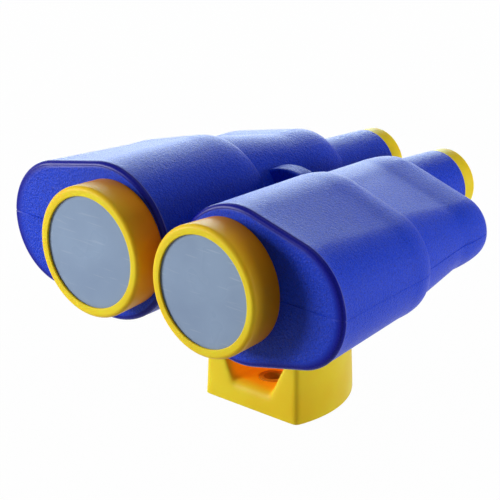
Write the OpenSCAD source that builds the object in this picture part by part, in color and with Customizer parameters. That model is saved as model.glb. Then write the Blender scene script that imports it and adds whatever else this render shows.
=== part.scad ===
// Toy binoculars on a swivel foot.
// Origin: centre of the mounting face, on the swivel axis. +Z is up and the objectives look towards -Y.

/* [Body] */
// Height by which the barrels clear the foot's cheeks
body_clear = 6.3; // [5:0.1:9]
// Distance between the two objective axes
lens_pitch = 75; // [73:0.5:77]
// Distance of the shells' seam below the objective axes
seam_drop = 1.1; // [0:0.1:2]
// Thickness of the shells' walls
wall = 2.6; // [2.2:0.1:3]
// Thickness of the walls that the rims and eyecups clip into
end_wall = 3; // [2.5:0.1:3.5]
// Radius of the front face's rounded edge
edge_r = 2.2; // [1.5:0.1:2.5]

/* [Front section] */
// Distance from the swivel axis forward to the front face
front_reach = 72; // [68:0.5:76]
// Distance from the middle plane to a barrel's inner side
front_gap = 2.8; // [2.5:0.1:3.4]
// Radius of the inner round at the front
front_inner_r = 40.1; // [39.2:0.1:41]
// Distance from the middle plane to the outer round's centre at the front
front_outer_x = 75.9; // [74:0.1:78]
// Radius of the outer round at the front
front_outer_r = 32.5; // [31:0.1:34]
// Distance from the swivel axis forward to where the front section rounds off
front_back_reach = 12; // [9:0.5:14]
// Radius of the inner round where the front section rounds off
front_back_inner_r = 37.1; // [36.5:0.1:38]
// Distance from the middle plane to the outer round's centre there
front_back_outer_x = 75.3; // [74:0.1:77]
// Radius of the outer round there
front_back_outer_r = 26.3; // [25:0.1:27]

/* [Rear section] */
// Distance from the swivel axis back to the step between the sections
step_reach = 4; // [3:0.2:6]
// Distance from the middle plane to a barrel's inner side at the step
rear_gap = 5.6; // [5.2:0.1:6]
// Radius of the inner round at the step
rear_inner_r = 33.9; // [33.2:0.1:34.5]
// Distance from the middle plane to the outer round's centre at the step
rear_outer_x = 70.3; // [69:0.1:72]
// Radius of the outer round at the step
rear_outer_r = 25.4; // [24.4:0.1:25.8]
// Distance from the swivel axis back to where the rear section rounds off
rear_back_reach = 40.6; // [38:0.2:42]
// Distance from the middle plane to a barrel's inner side there
rear_back_gap = 2; // [1.7:0.1:2.4]
// Radius of the inner round there
rear_back_inner_r = 28.2; // [27.6:0.1:29]
// Distance from the middle plane to the outer round's centre there
rear_back_outer_x = 69.7; // [68:0.1:71]
// Radius of the outer round there
rear_back_outer_r = 18.2; // [17.5:0.1:19]
// Distance from the swivel axis back to the end of the rear section
rear_reach = 62; // [60:0.5:64]
// Amount by which the end of the rear section is rounded in
rear_inset = 3.7; // [3:0.1:4.5]

/* [Eyepieces] */
// Distance between the two eyepiece axes
eye_pitch = 47; // [46.5:0.1:47.5]
// Radius of an eyepiece tube where it leaves the body
tube_base_r = 20.2; // [19.8:0.1:20.6]
// Radius of an eyepiece tube at its end
tube_end_r = 17.1; // [17:0.1:17.6]
// Distance from the swivel axis back to the end of the tubes
tube_reach = 99.8; // [96:0.2:104]
// Length by which an eyecup stands out of its tube
cup_len = 8.6; // [7.5:0.1:9.5]
// Outer radius of an eyecup
cup_r = 16.6; // [16.2:0.1:17]
// Radius of an eyecup's rounded end
cup_round = 2.4; // [1.5:0.1:2.8]
// Radius of an eyepiece lens
eye_lens_r = 12; // [11.6:0.1:12.2]
// Thickness of an eyepiece lens
eye_lens_t = 2; // [1.5:0.1:2.5]
// Width of the lip that an eyepiece lens rests on
eye_lip = 1.2; // [0.8:0.1:1.6]

/* [Objective rims] */
// Length by which a rim stands out of the front face
rim_len = 19; // [17.5:0.5:21]
// Outer radius of a rim near its lip
rim_r = 33; // [32.6:0.1:33.4]
// Outer radius of a rim at the front face
rim_base_r = 31.9; // [31.7:0.1:32]
// Radius of a rim's rounded lip
lip_round = 1.3; // [1:0.1:1.7]
// Inner radius of a rim's lip
lip_bore_r = 28; // [27.4:0.1:28.1]
// Depth of the lens behind the lip
lens_depth = 1; // [0.9:0.1:1.5]
// Radius of an objective lens
lens_r = 28.6; // [28.4:0.1:28.7]
// Thickness of an objective lens
lens_t = 2.5; // [2:0.1:3.5]
// Wall of a rim where the shells clip into it
clip_wall = 1.5; // [1.2:0.1:1.7]
// Depth of the clip groove
clip_depth = 1; // [0.8:0.1:1.1]
// Thickness of the clip's flange
clip_flange = 2; // [1.5:0.1:2.5]

/* [Foot] */
// Half width of the foot at its underside, abreast of the swivel axis
foot_half_w = 32.9; // [32.5:0.1:34]
// Radius of the foot's rounded sides at its underside
foot_side_r = 62; // [58:0.5:66]
// Distance from the swivel axis forward to the flat front at the underside
foot_front = 17; // [16.5:0.1:18]
// Distance from the swivel axis back to the end of the tail at the underside
foot_tail = 46; // [43:0.5:48]
// Height of the tail's end
tail_h = 24; // [20:0.5:27]
// Draft of the foot's outer walls, in degrees
foot_draft = 2; // [1.5:0.5:3]
// Height of the floor of the foot's pocket
floor_h = 12.4; // [11:0.2:14]
// Half width of the pocket at its floor
pocket_floor_half = 13; // [12:0.5:14]
// Half width of the pocket between the cheeks
pocket_half = 20.5; // [20:0.1:21]
// Height at which the pocket stops widening
flare_h = 28; // [26:0.5:28.5]
// Radius of the pocket's bottom corners
pocket_corner_r = 5; // [3:0.5:6]
// Distance from the swivel axis back to the pocket's rear wall
pocket_back = 21; // [20.5:0.5:23]
// Radius of the floor's rounded front lip
floor_lip_r = 5; // [3:0.5:5.5]
// Height of the tilt axis
pivot_h = 40; // [39:0.5:41]
// Height of the cheeks above the tilt axis
cheek_rise = 10.5; // [9.5:0.5:11]
// Width of the chamfers on the cheeks' top corners
cheek_chamfer = 6; // [4:0.5:8]

/* [Swivel bush] */
// Radius of the bush's bore, for an M8 bolt
bush_bore_r = 4.5; // [4.2:0.1:4.6]
// Outer radius of the bush's sleeve
bush_r = 7; // [6.5:0.1:8]
// Radius of the bush's flange
bush_flange_r = 13; // [11:0.5:14]
// Thickness of the bush's flange
bush_flange_t = 3; // [2.5:0.1:4]

/* [Tilt joint] */
// Radius of the tilt bolt's shank
bolt_r = 4; // [3.5:0.1:4.2]
// Distance from the middle plane to the faces that the bolt's washers press on
seat_x = 25; // [24.6:0.1:25.4]
// Radius of the recesses round the bolt's head and nut
seat_r = 9.2; // [9:0.1:10]
// Radius of the steel washers
washer_r = 8; // [7.6:0.1:8.4]
// Thickness of the steel washers
washer_t = 1.6; // [1.2:0.1:2]
// Corner radius of the hexagon head and nut
hex_r = 7.5; // [7.2:0.1:7.6]
// Height of the bolt's head
head_t = 5.3; // [4.5:0.1:5.6]
// Height of the nut
nut_t = 6.5; // [6:0.1:7]
// Length of thread that stands past the nut
bolt_tail = 0.8; // [0.4:0.1:1.2]
// Radius of the knuckle's hub
hub_r = 11; // [10:0.5:12]
// Radius of the friction washers
pad_r = 10; // [9:0.5:10.5]
// Thickness of the friction washers
pad_t = 1.5; // [1:0.1:2]
// Half width of the knuckle's neck
neck_half_w = 9; // [8:0.5:9.5]
// Half length of the knuckle's neck
neck_half_l = 9; // [8:0.5:9.5]
// Half width of the knuckle's flange
flange_half_w = 17; // [16:0.5:17.5]
// Half length of the knuckle's flange
flange_half_l = 20; // [19:0.5:22]
// Thickness of the knuckle's flange and of the saddle that it is screwed to
flange_t = 4; // [3.5:0.1:4.5]

/* [Screws and posts] */
// Radius of the shell screws' shank
screw_r = 1.75; // [1.5:0.05:1.8]
// Radius of the shell screws' head
screw_head_r = 3.1; // [2.8:0.05:3.2]
// Height of a screw's head
screw_head_t = 2.2; // [1.8:0.1:2.6]
// Thickness of the lower shell under a screw's head, and of the web between the barrels
web_h = 9; // [8.5:0.5:10]
// Length of thread in the upper shell
screw_grip = 6.5; // [5:0.5:7]
// Radius of the upper shell's posts
post_r = 4; // [3.6:0.1:4.4]
// Wall round the screw wells of the lower shell
well_wall = 1.6; // [1.4:0.1:2]
// Length of thread of the knuckle's screws in the lower shell
knuckle_grip = 9; // [8:0.5:10]

/* [Bridge] */
// Distance from the swivel axis back to the bridge's front
bridge_reach = 11; // [9:0.5:13]
// Length of the bridge
bridge_len = 9; // [7:0.5:11]
// Height of the bridge's crown above the objective axes
bridge_rise = 24; // [22:0.5:25]
// Radius of the bridge's arch
bridge_r = 30; // [26:1:36]

/* [Hidden] */
$fn = 64;

// Clearance of pieces that are fixed together
fit = 0.05;
// Radial clearance of shafts that turn
run = 0.06;
// Gap between faces that slide past each other
slip = 0.15;
// Overrun of every cut
over = 1;

blue = [0.13, 0.2, 0.68];
yellow = [0.88, 0.77, 0.15];
lens_grey = [0.54, 0.62, 0.71, 0.9];
nylon = [0.9, 0.89, 0.84];
steel = [0.72, 0.73, 0.75];
dark = [0.16, 0.17, 0.2];

// Heights of the cheeks, of the shells' seam above them and of the objective axes
cheek_top = pivot_h + cheek_rise;
seam_z = cheek_top + body_clear + front_back_inner_r;
axis_h = seam_z + seam_drop;
lens_x = lens_pitch / 2;
eye_x = eye_pitch / 2;

// Sections of a barrel: inner side, inner radius, outer centre and outer radius
front_section = [front_gap, front_inner_r, front_outer_x, front_outer_r];
front_back_section = [front_gap, front_back_inner_r, front_back_outer_x, front_back_outer_r];
rear_section = [rear_gap, rear_inner_r, rear_outer_x, rear_outer_r];
rear_back_section = [rear_back_gap, rear_back_inner_r, rear_back_outer_x, rear_back_outer_r];

// Facets along the outer round, the inner round and each rounded stretch of a barrel
outer_facets = 9;
inner_facets = 17;
round_facets = 4;
ring_points = outer_facets + inner_facets + 2;

function mix(a, b, s) = a + (b - a) * s;

// Section of a barrel at a place along its length
function section_at(y) =
    y < -front_back_reach
    ? mix(front_section, front_back_section, (y + front_reach) / (front_reach - front_back_reach))
    : y < step_reach
    ? mix(front_back_section, rear_section, (y + front_back_reach) / (step_reach + front_back_reach))
    : mix(rear_section, rear_back_section, (y - step_reach) / (rear_back_reach - step_reach));

// Upper half of a section: an arc of the outer round, a straight tangent and an arc of the inner round
function half_outline(s, inset) =
    let (inner_x = s[0] + s[1], turn = acos((s[1] - s[3]) / (s[2] - inner_x)))
    concat(
        [for (j = [0:outer_facets]) let (a = turn * j / outer_facets)
            [s[2] + (s[3] - inset) * cos(a), (s[3] - inset) * sin(a)]],
        [for (j = [0:inner_facets]) let (a = turn + (180 - turn) * j / inner_facets)
            [inner_x + (s[1] - inset) * cos(a), (s[1] - inset) * sin(a)]]);

// Upper half of a round hole's edge, with as many points as a section
function half_round(x, r) =
    [for (j = [0:ring_points - 1]) let (a = 180 * j / (ring_points - 1)) [x + r * cos(a), r * sin(a)]];

function place(outline, y) = [for (p = outline) [p[0], y, p[1]]];

// Stations along a barrel: outer place, inner place, section, and insets of the outer and inner surface
stations = concat(
    [for (k = [0:round_facets]) let (a = 90 * k / round_facets, y = -front_reach + edge_r * (1 - cos(a)))
        [y, y + end_wall, front_section, edge_r * (1 - sin(a)), wall]],
    [for (k = [0:round_facets]) let (a = 90 * k / round_facets)
        [mix(-front_back_reach, step_reach, sin(a)), mix(-front_back_reach, step_reach - wall / 2, sin(a)),
            mix(front_back_section, rear_section, 1 - cos(a)), 0, wall]],
    [for (k = [0:round_facets]) let (a = 90 * k / round_facets, inset = rear_inset * (1 - cos(a)))
        [mix(rear_back_reach, rear_reach, sin(a)), mix(rear_back_reach, rear_reach - end_wall, sin(a)),
            rear_back_section, inset, inset + wall]]);

// Radii of the first openings in a barrel's ends, which the bores then widen
front_hub_r = lip_bore_r / 2;
rear_hub_r = eye_lens_r / 2;

// Quarter of the body's skin: one barrel above the seam, as a closed strip of outer and inner rings
module half_barrel() {
    outer_rings = concat(
        [place(half_round(lens_x, front_hub_r), -front_reach)],
        [for (s = stations) place(half_outline(s[2], s[3]), s[0])],
        [place(half_round(eye_x, rear_hub_r), rear_reach)]);
    inner_rings = concat(
        [place(half_round(lens_x, front_hub_r), -front_reach + end_wall)],
        [for (s = stations) place(half_outline(s[2], s[4]), s[1])],
        [place(half_round(eye_x, rear_hub_r), rear_reach - end_wall)]);
    count = len(outer_rings);
    m = ring_points;
    outer_at = function (i, j) i * m + j;
    inner_at = function (i, j) (count + i) * m + j;
    skins = [for (i = [0:count - 2]) for (j = [0:m - 2]) each [
        [outer_at(i, j), outer_at(i, j + 1), outer_at(i + 1, j + 1)],
        [outer_at(i, j), outer_at(i + 1, j + 1), outer_at(i + 1, j)],
        [inner_at(i, j), inner_at(i + 1, j + 1), inner_at(i, j + 1)],
        [inner_at(i, j), inner_at(i + 1, j), inner_at(i + 1, j + 1)]]];
    mouths = [for (j = [0:m - 2]) each [
        [outer_at(0, j), inner_at(0, j + 1), outer_at(0, j + 1)],
        [outer_at(0, j), inner_at(0, j), inner_at(0, j + 1)],
        [outer_at(count - 1, j), outer_at(count - 1, j + 1), inner_at(count - 1, j + 1)],
        [outer_at(count - 1, j), inner_at(count - 1, j + 1), inner_at(count - 1, j)]]];
    seams = [for (i = [0:count - 2]) each [
        [outer_at(i, 0), outer_at(i + 1, 0), inner_at(i + 1, 0)],
        [outer_at(i, 0), inner_at(i + 1, 0), inner_at(i, 0)],
        [outer_at(i, m - 1), inner_at(i + 1, m - 1), outer_at(i + 1, m - 1)],
        [outer_at(i, m - 1), inner_at(i, m - 1), inner_at(i + 1, m - 1)]]];
    polyhedron(
        points = [for (ring = concat(outer_rings, inner_rings)) each ring],
        faces = concat(skins, mouths, seams));
}

// Solid of one barrel to the middle of its wall, reaching a little below the seam
module barrel_core() {
    rings = [for (s = stations)
        let (o = half_outline(s[2], s[3] + wall / 2), last = ring_points - 1)
        place(concat([[o[0][0], -over]], o, [[o[last][0], -over]]), (s[0] + s[1]) / 2)];
    count = len(rings);
    m = ring_points + 2;
    sides = [for (i = [0:count - 2]) for (j = [0:m - 1]) let (k = (j + 1) % m) each [
        [i * m + j, i * m + k, (i + 1) * m + k],
        [i * m + j, (i + 1) * m + k, (i + 1) * m + j]]];
    ends = [for (j = [1:m - 2]) each [
        [0, j + 1, j],
        [(count - 1) * m, (count - 1) * m + j, (count - 1) * m + j + 1]]];
    polyhedron(points = [for (ring = rings) each ring], faces = concat(sides, ends));
}

// Shapes turned about the objective and eyepiece axes: their profiles are radius and distance from
// the swivel axis
module turned_forward(x, z) {
    translate([x, 0, z]) rotate([90, 0, 0]) rotate_extrude() children();
}

module turned_back(x, z) {
    translate([x, 0, z]) rotate([-90, 0, 0]) rotate_extrude() children();
}

module across(x, r, length) {
    translate([x, 0, pivot_h]) rotate([0, 90, 0]) cylinder(h = length, r = r);
}

// Clip of the rims and eyecups: groove and flange radii
rim_groove_r = lens_r + fit + clip_wall;
rim_flange_r = rim_groove_r + clip_depth;
cup_groove_r = eye_lens_r + fit + clip_wall;
cup_flange_r = cup_groove_r + clip_depth;

// Half of an eyepiece tube, open towards the body and walled at its end
tube_root = rear_reach - end_wall;
tube_slope = (tube_base_r - tube_end_r) / (tube_reach - rear_reach);
tube_edge = wall / 4;
module half_tube() {
    root_r = tube_base_r + tube_slope * end_wall;
    translate([eye_x, 0, 0]) rotate([-90, 0, 0]) rotate([0, 0, 180]) rotate_extrude(angle = 180) polygon([
        [root_r - wall, tube_root],
        [root_r, tube_root],
        [tube_end_r + tube_slope * tube_edge, tube_reach - tube_edge],
        [tube_end_r - tube_edge, tube_reach],
        [cup_groove_r + fit, tube_reach],
        [cup_groove_r + fit, tube_reach - end_wall],
        [tube_end_r + tube_slope * end_wall - wall, tube_reach - end_wall]]);
}

// Plan of the web between the barrels, let half way into their walls
web_front = front_reach - end_wall - edge_r;
web_rear = rear_reach - end_wall / 2;
module web_plan() {
    side = [
        [front_gap + wall / 2, -web_front],
        [front_gap + wall / 2, -front_back_reach],
        [rear_gap + wall / 2, step_reach],
        [rear_back_gap + wall / 2, rear_back_reach],
        [rear_back_gap + rear_inset + wall / 2, web_rear]];
    polygon(concat(side, [for (k = [len(side) - 1:-1:0]) [-side[k][0], side[k][1]]]));
}

// Places of the shell screws: two in the web and two in each barrel
web_screw_share = 0.65;
front_post_y = -mix(front_reach, front_back_reach, 0.35);
rear_post_y = mix(step_reach, rear_back_reach, 0.6);
front_post_x = section_at(front_post_y)[2] + section_at(front_post_y)[3] / 3;
rear_post_x = section_at(rear_post_y)[2] + section_at(rear_post_y)[3] / 4;
web_screws = [[0, -front_reach * web_screw_share], [0, rear_reach * web_screw_share]];
post_screws = [for (side = [-1, 1]) each [
    [side * front_post_x, front_post_y],
    [side * rear_post_x, rear_post_y]]];
shell_screw_places = concat(web_screws, post_screws);
screw_hole_r = screw_r + fit;
well_r = screw_head_r + 4 * fit;
post_h = front_inner_r + front_outer_r;

module both_sides() {
    children();
    mirror([1, 0, 0]) children();
}

// Half of the body above the seam, before its holes
module half_body(post) {
    both_sides() {
        half_barrel();
        half_tube();
        intersection() {
            for (p = [[front_post_x, front_post_y], [rear_post_x, rear_post_y]])
                translate([p[0], p[1], 0]) cylinder(h = post_h, r = post);
            barrel_core();
        }
    }
    linear_extrude(height = web_h) web_plan();
}

// Openings of the front faces and of the rear ends, in the part's own frame
module mouth_cuts() {
    for (side = [-1, 1]) {
        translate([side * lens_x, 0, axis_h]) rotate([90, 0, 0])
            translate([0, 0, front_reach - end_wall - over])
                cylinder(h = end_wall + 2 * over, r = rim_groove_r + fit);
        translate([side * eye_x, 0, seam_z]) rotate([-90, 0, 0])
            translate([0, 0, tube_root - over])
                cylinder(h = end_wall + 2 * over, r = tube_base_r - wall - tube_slope * over);
    }
}

// Arch between the barrels, let into their walls
bridge_section = section_at(bridge_reach + bridge_len / 2);
module bridge() {
    inner_x = bridge_section[0] + bridge_section[1];
    crown = bridge_rise + seam_drop;
    translate([0, bridge_reach + bridge_len, 0]) rotate([90, 0, 0]) linear_extrude(height = bridge_len)
        difference() {
            intersection() {
                translate([0, crown - bridge_r]) circle(r = bridge_r);
                translate([-inner_x / 2, 0]) square([inner_x, crown]);
            }
            for (side = [-1, 1])
                translate([side * inner_x, 0]) circle(r = bridge_section[1] - wall / 2);
        }
}

module upper_shell() {
    color(blue) difference() {
        translate([0, 0, seam_z]) union() {
            half_body(post_r);
            bridge();
        }
        mouth_cuts();
        for (p = shell_screw_places)
            translate([p[0], p[1], seam_z - over]) cylinder(h = screw_grip + 2 * over, r = screw_hole_r);
    }
}

// Saddle under the web: a plate between the barrels, a rib up to the web and bosses for the screws.
// It is as deep as the knuckle's flange needs to lie clear of the barrels.
flange_section = section_at(-flange_half_l);
flange_reach = flange_section[0] + flange_section[1] - flange_half_w;
saddle_depth = sqrt(pow(flange_section[1], 2) - pow(flange_reach, 2)) + slip;
saddle_h = seam_z - saddle_depth;
saddle_section = section_at(0);
boss_r = screw_r + fit + well_wall + well_wall / 2;
knuckle_screw_x = flange_half_w - screw_head_r - well_wall;
knuckle_screw_y = flange_half_l - screw_head_r - well_wall;
knuckle_screw_places = [for (sx = [-1, 1], sy = [-1, 1]) [sx * knuckle_screw_x, sy * knuckle_screw_y]];
module saddle() {
    inner_x = saddle_section[0] + saddle_section[1];
    core_r = saddle_section[1] - wall / 2;
    difference() {
        union() {
            translate([-inner_x / 2, -flange_half_l, -saddle_depth])
                cube([inner_x, 2 * flange_half_l, flange_t]);
            translate([-wall, -flange_half_l, -saddle_depth])
                cube([2 * wall, 2 * flange_half_l, saddle_depth - web_h / 2]);
            for (p = knuckle_screw_places)
                translate([p[0], p[1], -saddle_depth])
                    cylinder(h = knuckle_grip + flange_t / 2, r = boss_r);
        }
        for (side = [-1, 1])
            translate([side * inner_x, -flange_half_l - over, 0]) rotate([-90, 0, 0])
                cylinder(h = 2 * flange_half_l + 2 * over, r = core_r);
    }
}

module lower_shell() {
    color(blue) difference() {
        translate([0, 0, seam_z]) union() {
            mirror([0, 0, 1]) half_body(well_r + well_wall);
            saddle();
        }
        mouth_cuts();
        for (p = shell_screw_places)
            translate([p[0], p[1], seam_z - web_h - over]) cylinder(h = web_h + 2 * over, r = screw_hole_r);
        for (p = post_screws)
            translate([p[0], p[1], seam_z - post_h]) cylinder(h = post_h - web_h, r = well_r);
        for (p = knuckle_screw_places)
            translate([p[0], p[1], saddle_h - over]) cylinder(h = knuckle_grip + over, r = screw_hole_r);
    }
}

// Screw with a round head and a cross recess, its head's underside at the origin and its shank upwards
recess_w = screw_head_r / 4;
module screw(length) {
    difference() {
        union() {
            translate([0, 0, -screw_head_t]) cylinder(h = screw_head_t, r = screw_head_r);
            cylinder(h = length, r = screw_r);
        }
        for (a = [0, 90])
            rotate([0, 0, a]) translate([-screw_head_r / 2, -recess_w / 2, -screw_head_t - over])
                cube([screw_head_r, recess_w, over + screw_head_t / 2]);
    }
}

module shell_screws() {
    color(steel) for (p = shell_screw_places)
        translate([p[0], p[1], seam_z - web_h]) screw(web_h + screw_grip);
}

module knuckle_screws() {
    color(steel) for (p = knuckle_screw_places)
        translate([p[0], p[1], saddle_h - flange_t]) screw(flange_t + knuckle_grip - fit);
}

// Objective rim: rounded lip, tapering outside, and a groove and flange that the shells close round
lip_t = front_reach + rim_len;
lens_front = lip_t - lens_depth;
clip_back = front_reach - end_wall - fit;
lip_inner_r = lip_bore_r + lip_round / 2;
module objective_rim(side) {
    quarter = [for (k = [0:round_facets]) let (a = 90 * k / round_facets)
        [rim_r - lip_round * (1 - cos(a)), lip_t - lip_round * (1 - sin(a))]];
    inner_quarter = [for (k = [0:round_facets]) let (a = 90 + 90 * k / round_facets)
        [lip_inner_r + lip_round / 2 * (1 + cos(a)), lip_t - lip_round / 2 * (1 - sin(a))]];
    color(yellow) turned_forward(side * lens_x, axis_h) polygon(concat(
        [[lens_r + fit, clip_back - clip_flange],
            [rim_flange_r, clip_back - clip_flange],
            [rim_flange_r, clip_back],
            [rim_groove_r, clip_back],
            [rim_groove_r, front_reach + fit],
            [rim_base_r, front_reach + fit]],
        quarter,
        inner_quarter,
        [[lip_bore_r, lens_front],
            [lens_r + fit, lens_front]]));
}

module objective_lens(side) {
    color(lens_grey) turned_forward(side * lens_x, axis_h)
        translate([0, lens_front - lens_t]) square([lens_r, lens_t]);
}

// Ring behind a lens, as long as the space that its seat leaves
retainer_share = 0.5;
module objective_retainer(side) {
    space = lens_front - lens_t - clip_back + clip_flange;
    color(dark) turned_forward(side * lens_x, axis_h)
        translate([lens_r - clip_wall, lens_front - lens_t - space * retainer_share])
            square([clip_wall, space * retainer_share]);
}

// Eyecup: rounded rim, dished inside, with the same clip as the objective rims
cup_end = tube_reach + cup_len;
eye_lens_back = cup_end - cup_len / 2;
cup_clip_back = tube_reach - end_wall - fit;
eye_lip_r = eye_lens_r - eye_lip;
module eyecup(side) {
    rounded = [for (k = [0:round_facets]) let (a = 90 * k / round_facets)
        [cup_r - cup_round * (1 - cos(a)), cup_end - cup_round * (1 - sin(a))]];
    color(yellow) turned_back(side * eye_x, seam_z) polygon(concat(
        [[eye_lens_r + fit, cup_clip_back - clip_flange],
            [cup_flange_r, cup_clip_back - clip_flange],
            [cup_flange_r, cup_clip_back],
            [cup_groove_r, cup_clip_back],
            [cup_groove_r, tube_reach + fit],
            [cup_r, tube_reach + fit]],
        rounded,
        [[eye_lens_r, cup_end],
            [eye_lip_r, eye_lens_back + eye_lip],
            [eye_lip_r, eye_lens_back],
            [eye_lens_r + fit, eye_lens_back]]));
}

module eyepiece_lens(side) {
    color(lens_grey) turned_back(side * eye_x, seam_z)
        translate([0, eye_lens_back - eye_lens_t]) square([eye_lens_r, eye_lens_t]);
}

module eyepiece_retainer(side) {
    space = eye_lens_back - eye_lens_t - cup_clip_back + clip_flange;
    color(dark) turned_back(side * eye_x, seam_z)
        translate([eye_lens_r - clip_wall, eye_lens_back - eye_lens_t - space * retainer_share])
            square([clip_wall, space * retainer_share]);
}

// Foot: two large drafted rounds that run together in a tail, with a flat front, cheeks and a pocket
foot_lean = tan(foot_draft);
side_x = foot_side_r - foot_half_w;
module drafted(x, r) {
    translate([x, 0, 0]) cylinder(h = cheek_top, r1 = r, r2 = r - cheek_top * foot_lean);
}

module foot_side() {
    shoulder = cheek_top - cheek_chamfer;
    shoulder_half = foot_front - shoulder * foot_lean;
    polygon([
        [-foot_front, 0],
        [foot_tail + over, 0],
        [foot_tail + over, tail_h],
        [shoulder_half, shoulder],
        [shoulder_half - cheek_chamfer, cheek_top],
        [cheek_chamfer - shoulder_half, cheek_top],
        [-shoulder_half, shoulder]]);
}

pocket_lean = atan((pocket_half - pocket_floor_half) / (flare_h - floor_h));
pocket_corner_half = pocket_floor_half - pocket_corner_r * tan((90 - pocket_lean) / 2);
module pocket() {
    corner = [for (k = [0:round_facets]) let (a = -90 + (90 - pocket_lean) * k / round_facets)
        [pocket_corner_half + pocket_corner_r * cos(a), floor_h + pocket_corner_r * (1 + sin(a))]];
    side = concat(corner, [[pocket_half, flare_h], [pocket_half, cheek_top + over]]);
    polygon(concat(side, [for (k = [len(side) - 1:-1:0]) [-side[k][0], side[k][1]]]));
}

// Cut that rounds the front lip of the floor
module floor_lip_cut() {
    lip_y = foot_front - floor_h * foot_lean;
    translate([-pocket_floor_half, -lip_y, floor_h - floor_lip_r]) rotate([90, 0, 90])
        linear_extrude(height = 2 * pocket_floor_half) difference() {
            translate([-over, 0]) square([floor_lip_r + over, floor_lip_r + over]);
            translate([floor_lip_r, 0]) circle(r = floor_lip_r);
            translate([floor_lip_r, 0]) square([over, floor_lip_r]);
        }
}

module swivel_yoke() {
    color(yellow) difference() {
        intersection() {
            drafted(-side_x, foot_side_r);
            drafted(side_x, foot_side_r);
            drafted(0, foot_tail);
            translate([-foot_half_w - over, 0, 0]) rotate([90, 0, 90])
                linear_extrude(height = 2 * (foot_half_w + over)) foot_side();
        }
        translate([0, pocket_back, 0]) rotate([90, 0, 0])
            linear_extrude(height = pocket_back + foot_front + over) pocket();
        floor_lip_cut();
        translate([0, 0, -over]) cylinder(h = floor_h + 2 * over, r = bush_r + run);
        translate([0, 0, -over]) cylinder(h = bush_flange_t + slip + over, r = bush_flange_r + 2 * slip);
        across(-foot_half_w, bolt_r + fit, 2 * foot_half_w);
        for (turn = [0, 180])
            rotate([0, 0, turn]) across(seat_x, seat_r, foot_half_w);
    }
}

module swivel_bush() {
    color(nylon) difference() {
        union() {
            cylinder(h = floor_h + slip, r = bush_r);
            cylinder(h = bush_flange_t, r = bush_flange_r);
        }
        translate([0, 0, -over]) cylinder(h = floor_h + 2 * over + slip, r = bush_bore_r);
    }
}

// Tilt bolt from right to left, with its washers and nut in the cheeks' recesses
grip_x = seat_x + washer_t;
module tilt_bolt() {
    color(steel) union() {
        across(grip_x, hex_r, head_t, $fn = 6);
        across(-grip_x - nut_t - bolt_tail, bolt_r, 2 * grip_x + nut_t + bolt_tail);
    }
}

module tilt_nut() {
    color(steel) difference() {
        across(-grip_x - nut_t, hex_r, nut_t, $fn = 6);
        across(-grip_x - nut_t - over, bolt_r + fit, nut_t + 2 * over);
    }
}

module washer(x, outer_r, thickness) {
    difference() {
        across(x, outer_r, thickness);
        across(x - over, bolt_r + fit, thickness + 2 * over);
    }
}

module tilt_washers() {
    color(steel) for (x = [seat_x, -seat_x - washer_t])
        washer(x, washer_r, washer_t);
}

module friction_washer(side) {
    color(dark) washer(side > 0 ? pocket_half - pad_t : -pocket_half, pad_r, pad_t);
}

// Knuckle: hub on the tilt bolt, neck and flange under the saddle
hub_half = pocket_half - pad_t - slip;
module tilt_knuckle() {
    neck_bottom = pivot_h;
    color(yellow) difference() {
        union() {
            across(-hub_half, hub_r, 2 * hub_half);
            translate([-neck_half_w, -neck_half_l, neck_bottom])
                cube([2 * neck_half_w, 2 * neck_half_l, saddle_h - neck_bottom]);
            translate([-flange_half_w, -flange_half_l, saddle_h - flange_t])
                cube([2 * flange_half_w, 2 * flange_half_l, flange_t]);
        }
        across(-hub_half - over, bolt_r + run, 2 * hub_half + 2 * over);
        for (p = knuckle_screw_places)
            translate([p[0], p[1], saddle_h - flange_t - over])
                cylinder(h = flange_t + 2 * over, r = screw_hole_r);
    }
}

module left_friction_washer() { friction_washer(-1); }
module right_friction_washer() { friction_washer(1); }
module left_objective_rim() { objective_rim(-1); }
module right_objective_rim() { objective_rim(1); }
module left_objective_lens() { objective_lens(-1); }
module right_objective_lens() { objective_lens(1); }
module left_objective_retainer() { objective_retainer(-1); }
module right_objective_retainer() { objective_retainer(1); }
module left_eyecup() { eyecup(-1); }
module right_eyecup() { eyecup(1); }
module left_eyepiece_lens() { eyepiece_lens(-1); }
module right_eyepiece_lens() { eyepiece_lens(1); }
module left_eyepiece_retainer() { eyepiece_retainer(-1); }
module right_eyepiece_retainer() { eyepiece_retainer(1); }

swivel_bush();
swivel_yoke();
tilt_bolt();
tilt_nut();
tilt_washers();
left_friction_washer();
right_friction_washer();
tilt_knuckle();
knuckle_screws();
lower_shell();
upper_shell();
shell_screws();
left_objective_rim();
right_objective_rim();
left_objective_lens();
right_objective_lens();
left_objective_retainer();
right_objective_retainer();
left_eyecup();
right_eyecup();
left_eyepiece_lens();
right_eyepiece_lens();
left_eyepiece_retainer();
right_eyepiece_retainer();
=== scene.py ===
"""Looks of the toy binoculars: shells, rims, lenses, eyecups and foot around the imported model."""

import math
from contextlib import contextmanager

import bmesh
import bpy
import numpy as np
from mathutils import Matrix, Vector


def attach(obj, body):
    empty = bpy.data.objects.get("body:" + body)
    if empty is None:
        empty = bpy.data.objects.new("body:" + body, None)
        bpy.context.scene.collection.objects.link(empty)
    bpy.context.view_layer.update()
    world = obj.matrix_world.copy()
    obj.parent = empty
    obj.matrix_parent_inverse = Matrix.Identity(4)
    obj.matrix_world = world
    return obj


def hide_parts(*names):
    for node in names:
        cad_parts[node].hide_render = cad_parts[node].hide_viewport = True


bl_info = {
    "name": "Toy binoculars",
    "version": (1, 0, 0),
    "blender": (4, 5, 0),
    "location": "View3D > Sidebar > Binoculars",
    "description": "Moulded shells, rims, lenses, eyecups and swivel foot of toy binoculars",
    "category": "Object",
}

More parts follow.
